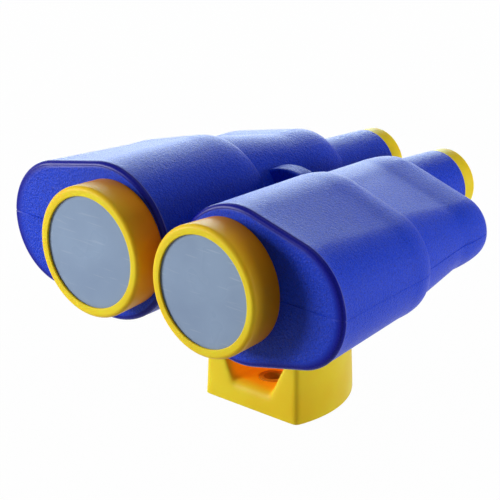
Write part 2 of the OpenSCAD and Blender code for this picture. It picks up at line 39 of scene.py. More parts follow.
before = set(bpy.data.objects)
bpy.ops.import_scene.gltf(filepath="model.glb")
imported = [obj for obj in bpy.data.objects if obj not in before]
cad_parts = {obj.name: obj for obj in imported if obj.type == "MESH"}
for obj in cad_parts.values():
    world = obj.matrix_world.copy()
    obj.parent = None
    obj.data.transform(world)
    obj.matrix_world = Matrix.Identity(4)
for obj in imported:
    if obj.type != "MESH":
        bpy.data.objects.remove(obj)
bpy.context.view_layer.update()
SIDES = {"left": -1, "right": 1}
UPPER, LOWER = 1, -1
WHITE, BLACK = (1, 1, 1), (0, 0, 0)
DIRT, TARNISH = (0.1, 0.06, 0.01), (0.1, 0.1, 0.09)


def length(name, description, millimetres):
    """A length property, written in millimetres and kept in metres."""
    return bpy.props.FloatProperty(
        name=name, description=description, default=millimetres / 1000, unit="LENGTH", precision=4
    )


def share(name, description, value):
    """A property between nothing and all."""
    return bpy.props.FloatProperty(
        name=name, description=description, default=value, min=0, max=1, subtype="FACTOR"
    )


def degrees(name, description, value):
    """An angle property, written in degrees and kept in radians."""
    return bpy.props.FloatProperty(
        name=name, description=description, default=math.radians(value), subtype="ANGLE"
    )


def watts(name, description, value):
    """A lamp's power."""
    return bpy.props.FloatProperty(
        name=name, description=description, default=value, unit="POWER"
    )


def count(name, description, value):
    """A whole-number property."""
    return bpy.props.IntProperty(name=name, description=description, default=value, min=1)


def paint(name, description, red, green, blue):
    """A colour property, written as screen values from 0 to 255 and kept as light."""
    screen = np.array([red, green, blue]) / 255
    light = np.where(screen <= 0.04045, screen / 12.92, ((screen + 0.055) / 1.055) ** 2.4)
    return bpy.props.FloatVectorProperty(
        name=name, description=description, default=light.tolist(), size=3, subtype="COLOR",
        min=0, max=1
    )


class BodySizes(bpy.types.PropertyGroup):
    """Sizes of the two moulded shells."""

    seam_z: length("Seam height", "Height of the shells' seam", 93.9)
    axis_z: length("Axis height", "Height of the objective axes", 95)
    lens_x: length("Objective offset", "From the middle plane to an objective axis", 37.5)
    eye_x: length("Eyepiece offset", "From the middle plane to an eyepiece axis", 23.5)
    wall: length("Wall", "Thickness of the barrels' walls", 2.6)
    end_wall: length("End wall", "Thickness of the front and rear walls", 3)
    edge_r: length("Front edge", "Radius of the front face's rounded edge", 2.2)
    mouth_r: length("Mouth", "Radius of the openings that the rims clip into", 30.2)
    front_reach: length("Front", "From the swivel axis forward to the front face", 72)
    front_back: length("Front section end", "From the swivel axis forward to the shoulder", 12)
    step_reach: length("Step", "From the swivel axis back to the step", 4)
    rear_back: length("Rear section end", "From the swivel axis back to the rear rounding", 40.6)
    rear_reach: length("Rear", "From the swivel axis back to the rear wall", 62)
    rear_inset: length("Rear rounding", "Amount by which the rear end is rounded in", 3.7)
    tube_base_r: length("Tube root", "Radius of an eyepiece tube at the body", 20.2)
    tube_end_r: length("Tube end", "Radius of an eyepiece tube at its end", 17.1)
    tube_reach: length("Tube reach", "From the swivel axis back to the tubes' ends", 99.8)
    tube_edge: length("Tube edge", "Radius of the tubes' rounded ends", 0.65)
    tube_mouth_r: length("Tube mouth", "Radius of the openings that the eyecups clip into", 13.6)
    groove: length("Parting groove", "Depth of the groove along the seam", 0.28)
    web_h: length("Web", "Height of the web between the barrels on each side of the seam", 9)
    bridge_y: length("Bridge place", "From the swivel axis back to the bridge's front", 11)
    bridge_len: length("Bridge length", "Length of the bridge", 9)
    bridge_crown: length("Bridge crown", "Height of the bridge's crown above the seam", 25.1)
    bridge_r: length("Bridge arch", "Radius of the bridge's arch", 30)
    bridge_edge: length("Bridge edge", "Radius of the bridge's rounded edges", 1.2)
    saddle_depth: length("Saddle depth", "Depth of the saddle's underside below the seam", 29.53)
    saddle_half: length("Saddle half length", "Half the saddle's length", 20)
    saddle_t: length("Saddle plate", "Thickness of the saddle's plate", 4)
    boss_r: length("Boss", "Radius of the bosses for the knuckle's screws", 4.2)
    boss_h: length("Boss height", "Height of those bosses", 11)
    boss_x: length("Boss offset", "From the middle plane to those bosses", 12.3)
    boss_y: length("Boss place", "From the swivel axis to those bosses", 15.3)
    hole_r: length("Screw hole", "Radius of the screw holes", 1.8)
    well_r: length("Screw well", "Radius of the screw wells", 3.3)
    well_wall: length("Well wall", "Wall of the screw wells", 1.6)


class RimSizes(bpy.types.PropertyGroup):
    """Sizes of the objective rims, the eyecups and the lenses."""

    rim_len: length("Rim length", "Length by which a rim stands out of the front face", 19)
    rim_r: length("Rim", "Outer radius of a rim near its lip", 33)
    rim_base_r: length("Rim base", "Outer radius of a rim at the front face", 31.9)
    lip_round: length("Lip edge", "Radius of the outer edge of a rim's lip", 2.2)
    lip_bore_r: length("Lip bore", "Inner radius of a rim's lip", 28)
    lens_depth: length("Lens depth", "Depth of the lens behind the lip", 1)
    lens_r: length("Lens", "Radius of an objective lens", 28.6)
    lens_t: length("Lens thickness", "Thickness of an objective lens", 2.5)
    clip_r: length("Clip groove", "Radius of a rim's clip groove", 30.15)
    flange_r: length("Clip flange", "Radius of a rim's clip flange", 31.15)
    flange_t: length("Flange thickness", "Thickness of the clips' flanges", 2)
    cup_len: length("Eyecup length", "Length by which an eyecup stands out of its tube", 8.6)
    cup_r: length("Eyecup", "Outer radius of an eyecup", 16.6)
    cup_round: length("Eyecup rounding", "Radius of an eyecup's rounded end", 2.4)
    eye_lens_r: length("Eyepiece lens", "Radius of an eyepiece lens", 12)
    eye_lens_t: length("Eyepiece lens thickness", "Thickness of an eyepiece lens", 2)
    eye_lip: length("Eyepiece lip", "Width of the lip round an eyepiece lens", 1.2)
    cup_clip_r: length("Eyecup groove", "Radius of an eyecup's clip groove", 13.55)
    cup_flange_r: length("Eyecup flange", "Radius of an eyecup's clip flange", 14.55)
    gap: length("Fit", "Clearance between pieces that are fixed together", 0.05)
    crown: length("Lens crown", "Height by which a lens is crowned", 0.3)
    segments: count("Segments", "Segments round the rims", 144)


class FootSizes(bpy.types.PropertyGroup):
    """How the foot and the knuckle are rounded."""

    voxel: length("Voxel", "Size of the cells that the foot is moulded in", 0.62)
    rounds: count("Relaxing", "Rounds of relaxing, which round all edges off", 5)
    soft_rounds: count("Soft relaxing", "Further rounds away from the holes", 34)
    run_on: length("Run-on", "Length that is moulded on below the floor and cut off", 8)


class Paints(bpy.types.PropertyGroup):
    """Colours of the plastics, the lenses and the metal."""

    blue: paint("Blue", "Blue plastic of the shells", 20, 61, 206)
    # Navy is the painted dark reflection on the front edge's band, which is also glossier; a little
    # of it deepens the blue's clouds
    navy: paint("Navy", "Polished front edge of the shells", 4, 6, 132)
    blue_speck: paint("Blue speck", "Pits in the blue plastic's grain", 20, 28, 124)
    # Painted glints: pale specks that stand for highlights on the grain's crests
    blue_painted_glint: paint("Blue glint", "Crests in the blue plastic's grain", 84, 112, 206)
    yellow: paint("Yellow", "Yellow plastic", 235, 211, 44)
    orange: paint("Deep yellow", "Clouds in the yellow plastic", 230, 182, 16)
    # Painted light: the orange that light through and between the walls gives the foot's pocket
    glow: paint("Inner yellow", "Yellow plastic inside the foot's pocket", 255, 178, 18)
    # Painted warm shade: the rims turn orange towards the shells, for light through the plastic
    warm: paint("Warm yellow", "Yellow plastic of the rims towards the shells", 228, 132, 4)
    # Painted glow: the pocket gives off this light of its own
    through: paint("Light through", "Light through the foot's walls in its pocket", 132, 66, 2)
    lens: paint("Lens", "Grey-blue lenses", 140, 160, 187)
    lens_haze: paint("Lens haze", "Lenses where they are hazy", 130, 149, 177)
    nylon: paint("Nylon", "Swivel bush", 214, 150, 24)
    steel: paint("Steel", "Screws, bolt, nut and washers", 184, 186, 190)
    dark: paint("Dark plastic", "Retainers and friction washers", 42, 44, 50)


class StageValues(bpy.types.PropertyGroup):
    """Camera, lamps and floor."""

    azimuth: degrees("Azimuth", "Turn of the camera about the object", 42.525)
    elevation: degrees("Elevation", "Height of the camera over the horizon", 21.434)
    distance: length("Distance", "From the camera to the point that it looks at", 1600)
    aim: bpy.props.FloatVectorProperty(
        name="Aim", description="Point that the camera looks at",
        default=(0.02843, -0.04798, 0.10151), subtype="TRANSLATION")
    focal: bpy.props.FloatProperty(
        name="Focal length", description="Focal length in millimetres", default=242.19,
        unit="CAMERA")
    key: watts("Key", "Lamp in front on the left", 23)
    side: watts("Side", "Lamp on the right, a little behind", 13)
    sheen: watts("Sheen", "Softbox behind on the left, which the tops reflect", 15)
    sheen_colour: paint("Sheen colour", "Colour of the lamp behind on the left", 226, 250, 255)
    overhead: watts("Overhead", "Softbox above", 4)
    room: share("Room", "Light of the white room", 0.02)


GROUPS = {
    "binoculars_body": BodySizes,
    "binoculars_rims": RimSizes,
    "binoculars_foot": FootSizes,
    "binoculars_paints": Paints,
    "binoculars_stage": StageValues,
}


class Term:
    """A node's output socket that takes part in Python sums: each operation adds one Math node."""

    def __init__(self, finish, socket):
        self.finish = finish
        self.socket = socket

    def math(self, operation, first, second, clamp=False):
        """A Math node on two values or links."""
        return self.finish.node(
            "ShaderNodeMath", {"operation": operation, "use_clamp": clamp}, {0: first, 1: second})

    def __add__(self, other):
        return self.math("ADD", self, other)

    def __radd__(self, other):
        return self.math("ADD", other, self)

    def __sub__(self, other):
        return self.math("SUBTRACT", self, other)

    def __rsub__(self, other):
        return self.math("SUBTRACT", other, self)

    def __mul__(self, other):
        return self.math("MULTIPLY", self, other)

    def __rmul__(self, other):
        return self.math("MULTIPLY", other, self)

    def clamped(self):
        """The value, kept between 0 and 1."""
        return self.math("ADD", self, 0.0, clamp=True)

    def over(self, low, high):
        """How far the value has risen from low to high, from 0 to 1."""
        return self.math("MULTIPLY", self - low, 1 / (high - low), clamp=True)


class Nodes:
    """The shader nodes of a material or a room."""

    def __init__(self, owner):
        owner.use_nodes = True
        self.tree = owner.node_tree
        self.tree.nodes.clear()

    def node(self, kind, settings=None, sockets=None, output=0):
        """Adds a node: its settings first, then the values or links of its sockets."""
        made = self.tree.nodes.new(kind)
        for key, value in (settings or {}).items():
            setattr(made, key, value)
        for key, value in (sockets or {}).items():
            if isinstance(value, Term):
                self.tree.links.new(value.socket, made.inputs[key])
            else:
                made.inputs[key].default_value = value
        return Term(self, made.outputs[output]) if len(made.outputs) else None

    def looked_at(self):
        """1 for what the camera sees, straight, mirrored or through glass, else 0."""
        camera, mirrored, through = (
            self.node("ShaderNodeLightPath", output=f"Is {kind} Ray")
            for kind in ("Camera", "Glossy", "Transmission"))
        return (camera + mirrored + through).clamped()


class Finish(Nodes):
    """A material that is being put together, on Object coordinates or on a mesh's attributes."""

    def __init__(self, name):
        self.material = bpy.data.materials.new(name)
        super().__init__(self.material)
        self.place = self.node("ShaderNodeTexCoord", output="Object")

    def noise(self, scale, detail=2.0, rough=0.5, place=None):
        """Soft noise around 0.5."""
        return self.node("ShaderNodeTexNoise", {"noise_dimensions": "3D"}, {
            "Vector": place or self.place, "Scale": scale, "Detail": detail, "Roughness": rough})

    def cells(self, scale):
        """Distances to the middles of scattered cells."""
        return self.node("ShaderNodeTexVoronoi", {"feature": "F1"}, {
            "Vector": self.place, "Scale": scale}, output="Distance")

    def stretched(self, scale, turn=(0, 0, 0)):
        """Object coordinates, stretched and turned."""
        return self.node("ShaderNodeMapping", None, {
            "Vector": self.place, "Scale": scale, "Rotation": turn})

    def attribute(self, name):
        """A value that the mesh's points carry, or 0."""
        return self.node("ShaderNodeAttribute", {"attribute_name": name}, output="Fac")

    def mix(self, factor, first, second):
        """Mix of two colours."""
        return self.node("ShaderNodeMix", {"data_type": "RGBA"}, {
            "Factor": factor, "A": with_alpha(first), "B": with_alpha(second)}, output="Result")

    def bump(self, height, strength, distance):
        """Normals that follow a height."""
        return self.node("ShaderNodeBump", None, {
            "Height": height, "Strength": strength, "Distance": distance}, output="Normal")

    def surface(self, colour, roughness, normal=None, **constants):
        """Ends the material in a Principled BSDF: constants go on its own sockets."""
        sockets = {"Base Color": with_alpha(colour), "Roughness": roughness}
        if normal is not None:
            sockets["Normal"] = normal
        sockets.update({key.replace("_", " "): value for key, value in constants.items()})
        return self.ended(self.node("ShaderNodeBsdfPrincipled", None, sockets))

    def ended(self, shader):
        """Links the last shader to the material's output."""
        self.node("ShaderNodeOutputMaterial", None, {"Surface": shader})
        return self.material


def with_alpha(colour):
    """A colour with its fourth value; a link is left as it is."""
    return colour if isinstance(colour, Term) else (*tuple(colour)[:3], 1.0)


def mixed_colour(first, second, amount):
    """A plain colour part of the way between two."""
    return tuple(np.array(first[:]) * (1 - amount) + np.array(second[:]) * amount)


def blue_plastic(paints):
    """Grained blue: pits as bump and dark specks, painted glints on the grain's crests, faint
    clouds, painted highlight lines along the creases, and painted dark reflection on the glossier
    front edge."""
    f = Finish("grained_blue")
    band = f.attribute("edge_band")
    crease_highlight = f.attribute("crease_line")
    fine = f.noise(1300, 3.0, 0.7)
    coarse = f.noise(560, 2.0, 0.5)
    cloud = f.noise(28, 2.0, 0.5)
    pits = f.cells(900)
    specks = f.noise(1700, 2.0, 0.6).over(0.48, 0.34)
    painted_glints = f.noise(1500, 2.0, 0.6).over(0.55, 0.72)
    grain = (1 - band).clamped()
    deeper = mixed_colour(paints.blue, paints.navy, 0.2)
    paler = mixed_colour(paints.blue, WHITE, 0.25)
    colour = f.mix(cloud.over(0.35, 0.7) * 0.3, paints.blue, deeper)
    colour = f.mix(specks * grain * 0.7, colour, paints.blue_speck)
    # Painted glints: pale specks on the grain
    colour = f.mix(painted_glints * grain * 0.35, colour, paints.blue_painted_glint)
    # Painted dark reflection: the front edge's band turns navy
    colour = f.mix(band * 0.95, colour, paints.navy)
    # Painted highlight: pale lines along the front edge's outer side and the step
    colour = f.mix(crease_highlight * 0.45, colour, paler)
    rough = 0.33 + 0.12 * fine - 0.12 * band
    height = (fine * 0.7 + coarse * 0.6 + pits * 0.4) * grain
    return f.surface(
        colour, rough, f.bump(height, 0.7, 0.0006), IOR=1.5, Specular_IOR_Level=0.11)


def yellow_plastic(paints):
    """Glossy yellow with faint flow clouds and a fine ripple, with painted warm shade on the rims
    towards the shells, and a painted orange light and a faint painted glow in the foot's pocket,
    for light through its walls."""
    f = Finish("glossy_yellow")
    cloud = f.noise(36, 2.0, 0.5)
    flow = f.noise(9, 1.0, 0.5, f.stretched((6, 1.5, 3)))
    fine = f.noise(900, 2.0, 0.55)
    dust = f.noise(2600, 1.0, 0.5).over(0.30, 0.22)
    deep = cloud.over(0.38, 0.72) * 0.4 + flow.over(0.45, 0.75) * 0.2
    colour = f.mix(deep, paints.yellow, paints.orange)
    colour = f.mix(dust * 0.12, colour, mixed_colour(paints.yellow, DIRT, 0.6))
    # Painted warm shade on the rims towards the shells
    colour = f.mix(f.attribute("warm") * 0.95, colour, paints.warm)
    # Painted light in the foot's pocket: a deeper orange, and a faint glow as emission
    through = f.attribute("glow")
    colour = f.mix(through * 0.9, colour, paints.glow)
    rough = 0.36 + 0.10 * cloud + 0.05 * fine
    height = fine * 0.35 + cloud * 0.9
    return f.surface(
        colour, rough, f.bump(height, 0.10, 0.0003), IOR=1.5, Specular_IOR_Level=0.1,
        Subsurface_Weight=0.25, Subsurface_Radius=(0.006, 0.0025, 0.0003), Subsurface_Scale=1.0,
        Emission_Color=f.mix(through * through, BLACK, paints.through), Emission_Strength=1.0)


def lens_plastic(paints):
    """Tinted plastic: almost even grey-blue with faint pale slanted lines and a haze of dust."""
    f = Finish("tinted_lens")
    haze = f.noise(40, 2.0, 0.5)
    dust = f.noise(1700, 1.0, 0.5).over(0.34, 0.24)
    slanted = f.stretched((1, 1, 14), (0, math.radians(38), 0))
    lines = f.noise(70, 0.0, 0.5, slanted).over(0.72, 0.8)
    paler = mixed_colour(paints.lens, WHITE, 0.45)
    colour = f.mix(haze.over(0.3, 0.75), paints.lens, paints.lens_haze)
    colour = f.mix(lines * 0.12 + dust * 0.06, colour, paler)
    rough = 0.22 + 0.14 * haze + 0.1 * lines
    return f.surface(
        colour, rough, f.bump(haze, 0.04, 0.0004), IOR=1.5, Specular_IOR_Level=0.15)


def steel(paints):
    """Zinc-plated steel with fine turning marks and blotches."""
    f = Finish("plated_steel")
    marks = f.noise(900, 2.0, 0.6, f.stretched((1, 1, 6)))
    blotch = f.noise(140, 3.0, 0.55)
    dull = mixed_colour(paints.steel, TARNISH, 0.45)
    colour = f.mix(blotch.over(0.35, 0.7) * 0.5, paints.steel, dull)
    rough = 0.26 + 0.18 * marks + 0.08 * blotch
    return f.surface(colour, rough, f.bump(marks, 0.12, 0.0001), Metallic=1.0)


def plain_moulding(name, colour_value, shade, rough_value):
    """A small matt moulding: mottled colour and a fine grain."""
    f = Finish(name)
    mottle = f.noise(260, 3.0, 0.55)
    grain = f.noise(1900, 2.0, 0.5)
    darker = mixed_colour(colour_value, BLACK, shade)
    colour = f.mix(mottle.over(0.35, 0.7) * 0.6, colour_value, darker)
    rough = rough_value + 0.12 * grain
    return f.surface(colour, rough, f.bump(grain, 0.18, 0.0002), Specular_IOR_Level=0.4)


def finish_named(name, make, *values):
    """The material of that name, made when it is first asked for."""
    return bpy.data.materials.get(name) or make(*values)


def mix(first, second, amount):
    """Part of the way from the first value to the second."""
    return first + (second - first) * amount


TINY = 1e-12
MERGE, DEGENERATE = 2e-6, 1e-6
SHARP_ANGLE, SOFT_SHARP_ANGLE = 38.0, 60.0


def spread(values, columns):
    """A value for each row, repeated over the columns."""
    return np.repeat(np.asarray(values, float)[:, None], columns, axis=1)


def grid_faces(rows, columns, start=0, wrap_rows=False, wrap_columns=False):
    """Four-sided faces between the points of a grid that is stored row by row."""
    i = np.arange(rows if wrap_rows else rows - 1)[:, None]
    j = np.arange(columns if wrap_columns else columns - 1)[None, :]
    below, beside = (i + 1) % rows, (j + 1) % columns
    corners = [i * columns + j, below * columns + j, below * columns + beside, i * columns + beside]
    return start + np.stack([c.ravel() for c in np.broadcast_arrays(*corners)], axis=1)


def strip_faces(first, second, closed=False):
    """Faces between two like rows of point numbers."""
    first, second = np.asarray(first), np.asarray(second)
    if closed:
        first, second = np.append(first, first[:1]), np.append(second, second[:1])
    return np.stack([first[:-1], first[1:], second[1:], second[:-1]], axis=1)


def grid_normals(points):
    """Unit normals of a grid: the cross product of its two directions."""
    along, across = np.gradient(points, axis=0), np.gradient(points, axis=1)
    normal = np.cross(along, across)
    size = np.linalg.norm(normal, axis=2, keepdims=True)
    return normal / np.maximum(size, TINY)


@contextmanager
def reworked(mesh):
    """A bmesh of the mesh, which is put back into it at the end."""
    work = bmesh.new()
    work.from_mesh(mesh)
    yield work
    work.to_mesh(mesh)
    work.free()


def linked(name, data):
    """A new object in the scene."""
    made = bpy.data.objects.new(name, data)
    bpy.context.scene.collection.objects.link(made)
    return made


def with_modifiers(made):
    """A new mesh of the object with its modifiers applied."""
    graph = bpy.context.evaluated_depsgraph_get()
    return bpy.data.meshes.new_from_object(made.evaluated_get(graph))


def fetched(items, key, width, kind=float):
    """A value of each of a mesh's points or edges, as an array with a row for each."""
    flat = np.empty(len(items) * width, kind)
    items.foreach_get(key, flat)
    return flat.reshape(-1, width)


class Mould:
    """Points, faces and point values of one piece, gathered from several surfaces."""

    def __init__(self):
        self.points, self.faces, self.values = [], [], {}
        self.size = 0

    def add(self, points, faces, **values):
        """Takes in a surface: an array of points and faces that count from its first point."""
        flat = np.asarray(points, float).reshape(-1, 3)
        self.faces += [(np.asarray(face) + self.size).tolist() for face in faces]
        self.points.append(flat)
        for name, value in values.items():
            self.values.setdefault(name, []).append((self.size, np.asarray(value, float).ravel()))
        self.size += len(flat)

    def turned(self, profile, centre, segments, axis="Y", **values):
        """Closed profile of (radius, reach) turned about an axis through centre: a ring of its
        sections. Each value is given for the points of the profile."""
        profile = np.asarray(profile, float)
        angle = np.linspace(0, 2 * np.pi, segments, endpoint=False)[:, None]
        radius, reach = profile[None, :, 0], profile[None, :, 1]
        side, up = radius * np.cos(angle), radius * np.sin(angle)
        reach = np.broadcast_to(reach, side.shape)
        order = [side, reach, up] if axis == "Y" else [side, up, reach]
        self.add(np.stack(order, axis=2) + np.asarray(centre),
                 grid_faces(segments, len(profile), 0, True, True),
                 **{name: np.tile(value, segments) for name, value in values.items()})

    def piece(self, name, material, body, nodes, slot):
        """Puts the gathered surfaces into a mesh that rides on a body and stands for CAD nodes."""
        mesh = bpy.data.meshes.new(name)
        mesh.from_pydata(np.concatenate(self.points).tolist(), [], self.faces)
        for key, parts in self.values.items():
            whole = np.zeros(self.size, np.float32)
            for start, value in parts:
                whole[start:start + len(value)] = value
            mesh.attributes.new(key, "FLOAT", "POINT").data.foreach_set("value", whole)
        with reworked(mesh) as work:
            bmesh.ops.remove_doubles(work, verts=work.verts, dist=MERGE)
            bmesh.ops.dissolve_degenerate(work, edges=work.edges, dist=DEGENERATE)
            bmesh.ops.recalc_face_normals(work, faces=work.faces)
        return place_piece(name, mesh, material, body, nodes, SHARP_ANGLE)


def place_piece(name, mesh, material, body, nodes, sharp):
    """Links a finished mesh into the scene with its material, body and CAD nodes."""
    mesh.materials.clear()
    mesh.materials.append(material)
    mesh.polygons.foreach_set("use_smooth", np.ones(len(mesh.polygons), bool))
    mesh.set_sharp_from_angle(angle=math.radians(sharp))
    made = linked(name, mesh)
    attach(made, body)
    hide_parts(*nodes)
    return made


WARM_RISE = 0.4
LENS_POINTS = 14
CUP_LIP, CUP_LIP_EDGE = 0.0005, 0.0004


def turned_pair(profile, x, z, segments, piece, node, material, slot, **values):
    """Turns the same profile on the left and on the right, as two pieces of the binocular."""
    for name, side in SIDES.items():
        mould = Mould()
        mould.turned(profile, (side * x, 0, z), segments, **values)
        mould.piece(f"{name}_{piece}", material, "binocular", [f"{name}_{node}"], slot)


def arc(centre_r, centre_reach, radius, start, end, steps):
    """Points (radius, reach) of an arc in a turned profile, angles in degrees."""
    angle = np.radians(np.linspace(start, end, steps))
    return np.stack([
        centre_r + radius * np.cos(angle), centre_reach + radius * np.sin(angle)], axis=1)


# Sections of a barrel in millimetres: inner side, inner radius, outer centre and outer radius
BARREL_SECTIONS = ((2.8, 40.1, 75.9, 32.5), (2.8, 37.1, 75.3, 26.3),
                   (5.6, 33.9, 70.3, 25.4), (2.0, 28.2, 69.7, 18.2))
# Rows of a barrel's grid, stretch by stretch from the front face to the lip of its tube
FACE_ROWS, EDGE_ROWS, FRONT_ROWS, STEP_ROWS, REAR_ROWS = 8, 9, 20, 14, 12
END_ROWS, WALL_ROWS, ROOT_ROWS, TUBE_ROWS, LIP_ROWS = 12, 4, 4, 9, 5
FACE_SPACING = 0.7
# Points round a barrel, and the shares of its rounds that the seam's groove takes up
OUTER_POINTS, SIDE_POINTS, INNER_POINTS = 30, 16, 58
OUTER_GROOVE, INNER_GROOVE = 0.012, 0.006
# Painted highlight lines along the front edge and the step, and the front edge's band of painted
# dark reflection
LINE_WIDTH = 0.0006
BAND_BEFORE, BAND_AFTER, STEP_HIGHLIGHT = 0.2, 0.4, 0.8
# How the rear end flares out to the tube's root
FLARE_SLOPE, FLARE_START, FLARE_BLEND = 0.6, 0.002, 0.0008
ROOT_FILLET, LEAST_FILLET, TUBE_START, LINING_EDGE = 0.0009, 2e-5, 0.0016, 0.0001


def sections(body, reach):
    """Sections (inner side, inner radius, outer centre, outer radius) at places along a barrel."""
    keys = [-body.front_reach, -body.front_back, body.step_reach, body.rear_back]
    table = np.array(BARREL_SECTIONS) / 1000
    return np.stack([np.interp(reach, keys, column) for column in table.T], axis=1)


def half_outline(section, inset, outer, straight, inner):
    """Upper half of each section: the outer round from 0 to the tangent, the straight tangent, and
    the inner round on to 180 degrees. The three share arrays place the points on each stretch."""
    gap, inner_r, outer_x, outer_r = section.T[:, :, None]
    inset = np.asarray(inset)[:, None]
    inner_x = gap + inner_r
    turn = np.arccos((inner_r - outer_r) / (outer_x - inner_x))
    first = turn * outer[None, :]
    last = turn + (np.pi - turn) * inner[None, :]
    outer_r, inner_r = outer_r - inset, inner_r - inset
    x_outer, h_outer = outer_x + outer_r * np.cos(first), outer_r * np.sin(first)
    x_inner, h_inner = inner_x + inner_r * np.cos(last), inner_r * np.sin(last)
    x_line = mix(x_outer[:, -1:], x_inner[:, :1], straight[None, :])
    h_line = mix(h_outer[:, -1:], h_inner[:, :1], straight[None, :])
    return (np.concatenate([x_outer, x_line, x_inner], axis=1),
            np.concatenate([h_outer, h_line, h_inner], axis=1))


def barrel_rows(body, inset_by, front_in, step_in, end_in):
    """Stations along a barrel: reach, section and inset of each row from the front face to the rear
    wall. The front edge and the rear end are quarter rounds, and the shoulder eases into the
    step."""
    quarter = np.linspace(0, np.pi / 2, EDGE_ROWS)
    edge_y = -body.front_reach + body.edge_r * (1 - np.cos(quarter)) + front_in
    edge_inset = body.edge_r * (1 - np.sin(quarter)) if inset_by == 0 else np.zeros(EDGE_ROWS)
    front_y = np.linspace(edge_y[-1], -body.front_back, FRONT_ROWS)[1:-1]
    front_y[0] = edge_y[-1] + LINE_WIDTH
    ease = np.linspace(0, np.pi / 2, STEP_ROWS)
    step_y = mix(-body.front_back, body.step_reach - step_in, np.sin(ease))
    ends = sections(body, np.array([-body.front_back, body.step_reach]))
    step_section = mix(ends[:1], ends[1:], (1 - np.cos(ease))[:, None])
    rear_y = np.linspace(step_y[-1], body.rear_back, REAR_ROWS)[1:-1]
    rear_y[0] = step_y[-1] + LINE_WIDTH
    ease = np.linspace(0, np.pi / 2, END_ROWS)
    end_y = mix(body.rear_back, body.rear_reach - end_in, np.sin(ease))
    end_inset = body.rear_inset * (1 - np.cos(ease))
    reach = np.concatenate([edge_y, front_y, step_y, rear_y, end_y])
    section = np.concatenate([
        sections(body, np.full(EDGE_ROWS, -body.front_reach)), sections(body, front_y),
        step_section, sections(body, rear_y), sections(body, np.full(END_ROWS, body.rear_back))])
    middle = np.zeros(len(front_y) + STEP_ROWS + len(rear_y))
    return reach, section, np.concatenate([edge_inset, middle, end_inset]) + inset_by


def barrel_surface(body, drop, outside):
    """Half of one barrel as a grid of rows, as x, reach and height above the seam: from the mouth
    over the flat front face, along the barrel, over the rear wall, along the tapering tube and in
    to its mouth. Where the tube is wider than the rear end, the points are pushed out to it."""
    outer = np.concatenate([[0, OUTER_GROOVE], np.linspace(2 * OUTER_GROOVE, 1, OUTER_POINTS)])
    inner = np.concatenate([
        np.linspace(0, 1 - 2 * INNER_GROOVE, INNER_POINTS), [1 - INNER_GROOVE, 1]])
    straight = np.linspace(0, 1, SIDE_POINTS)[1:-1]
    thick = 0 if outside else body.wall
    depth = 0 if outside else body.end_wall
    reach, section, inset = barrel_rows(body, thick, depth, depth / 2, depth)
    x, h = half_outline(section, inset, outer, straight, inner)
    columns = x.shape[1]
    y = spread(reach, columns)

    start = math.asin(drop / body.mouth_r)
    rim_angle = np.arctan2(h[0] - drop, x[0] - body.lens_x)
    rim_angle[0], rim_angle[-1] = -start, np.pi + start
    rim_x = body.lens_x + body.mouth_r * np.cos(rim_angle)
    rim_h = drop + body.mouth_r * np.sin(rim_angle)
    across = (np.linspace(0, 1, FACE_ROWS + 1)[:-1] ** FACE_SPACING)[:, None]
    face_x, face_h = mix(rim_x, x[0], across), mix(rim_h, h[0], across)
    face_y = np.full((FACE_ROWS, columns), reach[0])

    flare = body.tube_base_r - thick - (body.rear_reach - depth - y) * FLARE_SLOPE
    away = np.hypot(x - body.eye_x, h)
    pushed = (away + flare + np.sqrt((away - flare) ** 2 + FLARE_BLEND ** 2)) / 2
    late = y > body.rear_back + FLARE_START
    push = np.where(late, pushed / np.maximum(away, TINY), 1)
    x, h = body.eye_x + (x - body.eye_x) * push, h * push

    bearing = np.arctan2(h[-1], x[-1] - body.eye_x)
    away = np.hypot(x[-1] - body.eye_x, h[-1])
    slope = (body.tube_base_r - body.tube_end_r) / (body.tube_reach - body.rear_reach)
    root_r = body.tube_base_r - thick
    back = body.rear_reach - depth
    root = np.linspace(0, np.pi / 2, ROOT_ROWS)[:, None]
    fillet = np.minimum(ROOT_FILLET, np.maximum(away - root_r, LEAST_FILLET))[None, :]
    wall_share = np.linspace(0, 1, WALL_ROWS + 1)[1:, None]
    wall_r = mix(away[None, :], root_r + fillet, wall_share)
    root_rows_r = root_r + fillet * (1 - np.sin(root[1:]))
    root_rows_y = back + fillet * (1 - np.cos(root[1:]))
    end = body.tube_reach - depth
    edge = body.tube_edge if outside else LINING_EDGE
    tube_y = np.linspace(back + TUBE_START, end - edge, TUBE_ROWS)
    tube_r = body.tube_base_r - slope * (tube_y - body.rear_reach) - thick
    lip = np.linspace(0, np.pi / 2, LIP_ROWS)[1:]
    lip_r = tube_r[-1] - edge * (1 - np.cos(lip))
    lip_y = end - edge * (1 - np.sin(lip))
    face_r = np.array([mix(lip_r[-1], body.tube_mouth_r, 0.5), body.tube_mouth_r])
    tail_r = np.concatenate([
        wall_r, root_rows_r, spread(np.concatenate([tube_r, lip_r, face_r]), columns)])
    tail_y = np.concatenate([
        np.full((WALL_ROWS, columns), back), root_rows_y,
        spread(np.concatenate([tube_y, lip_y, [end, end]]), columns)])
    tail_x = body.eye_x + tail_r * np.cos(bearing)
    tail_h = tail_r * np.sin(bearing)
    return np.stack([
        np.concatenate([face_x, x, tail_x]),
        np.concatenate([face_y, y, tail_y]),
        np.concatenate([face_h, h, tail_h])], axis=2)


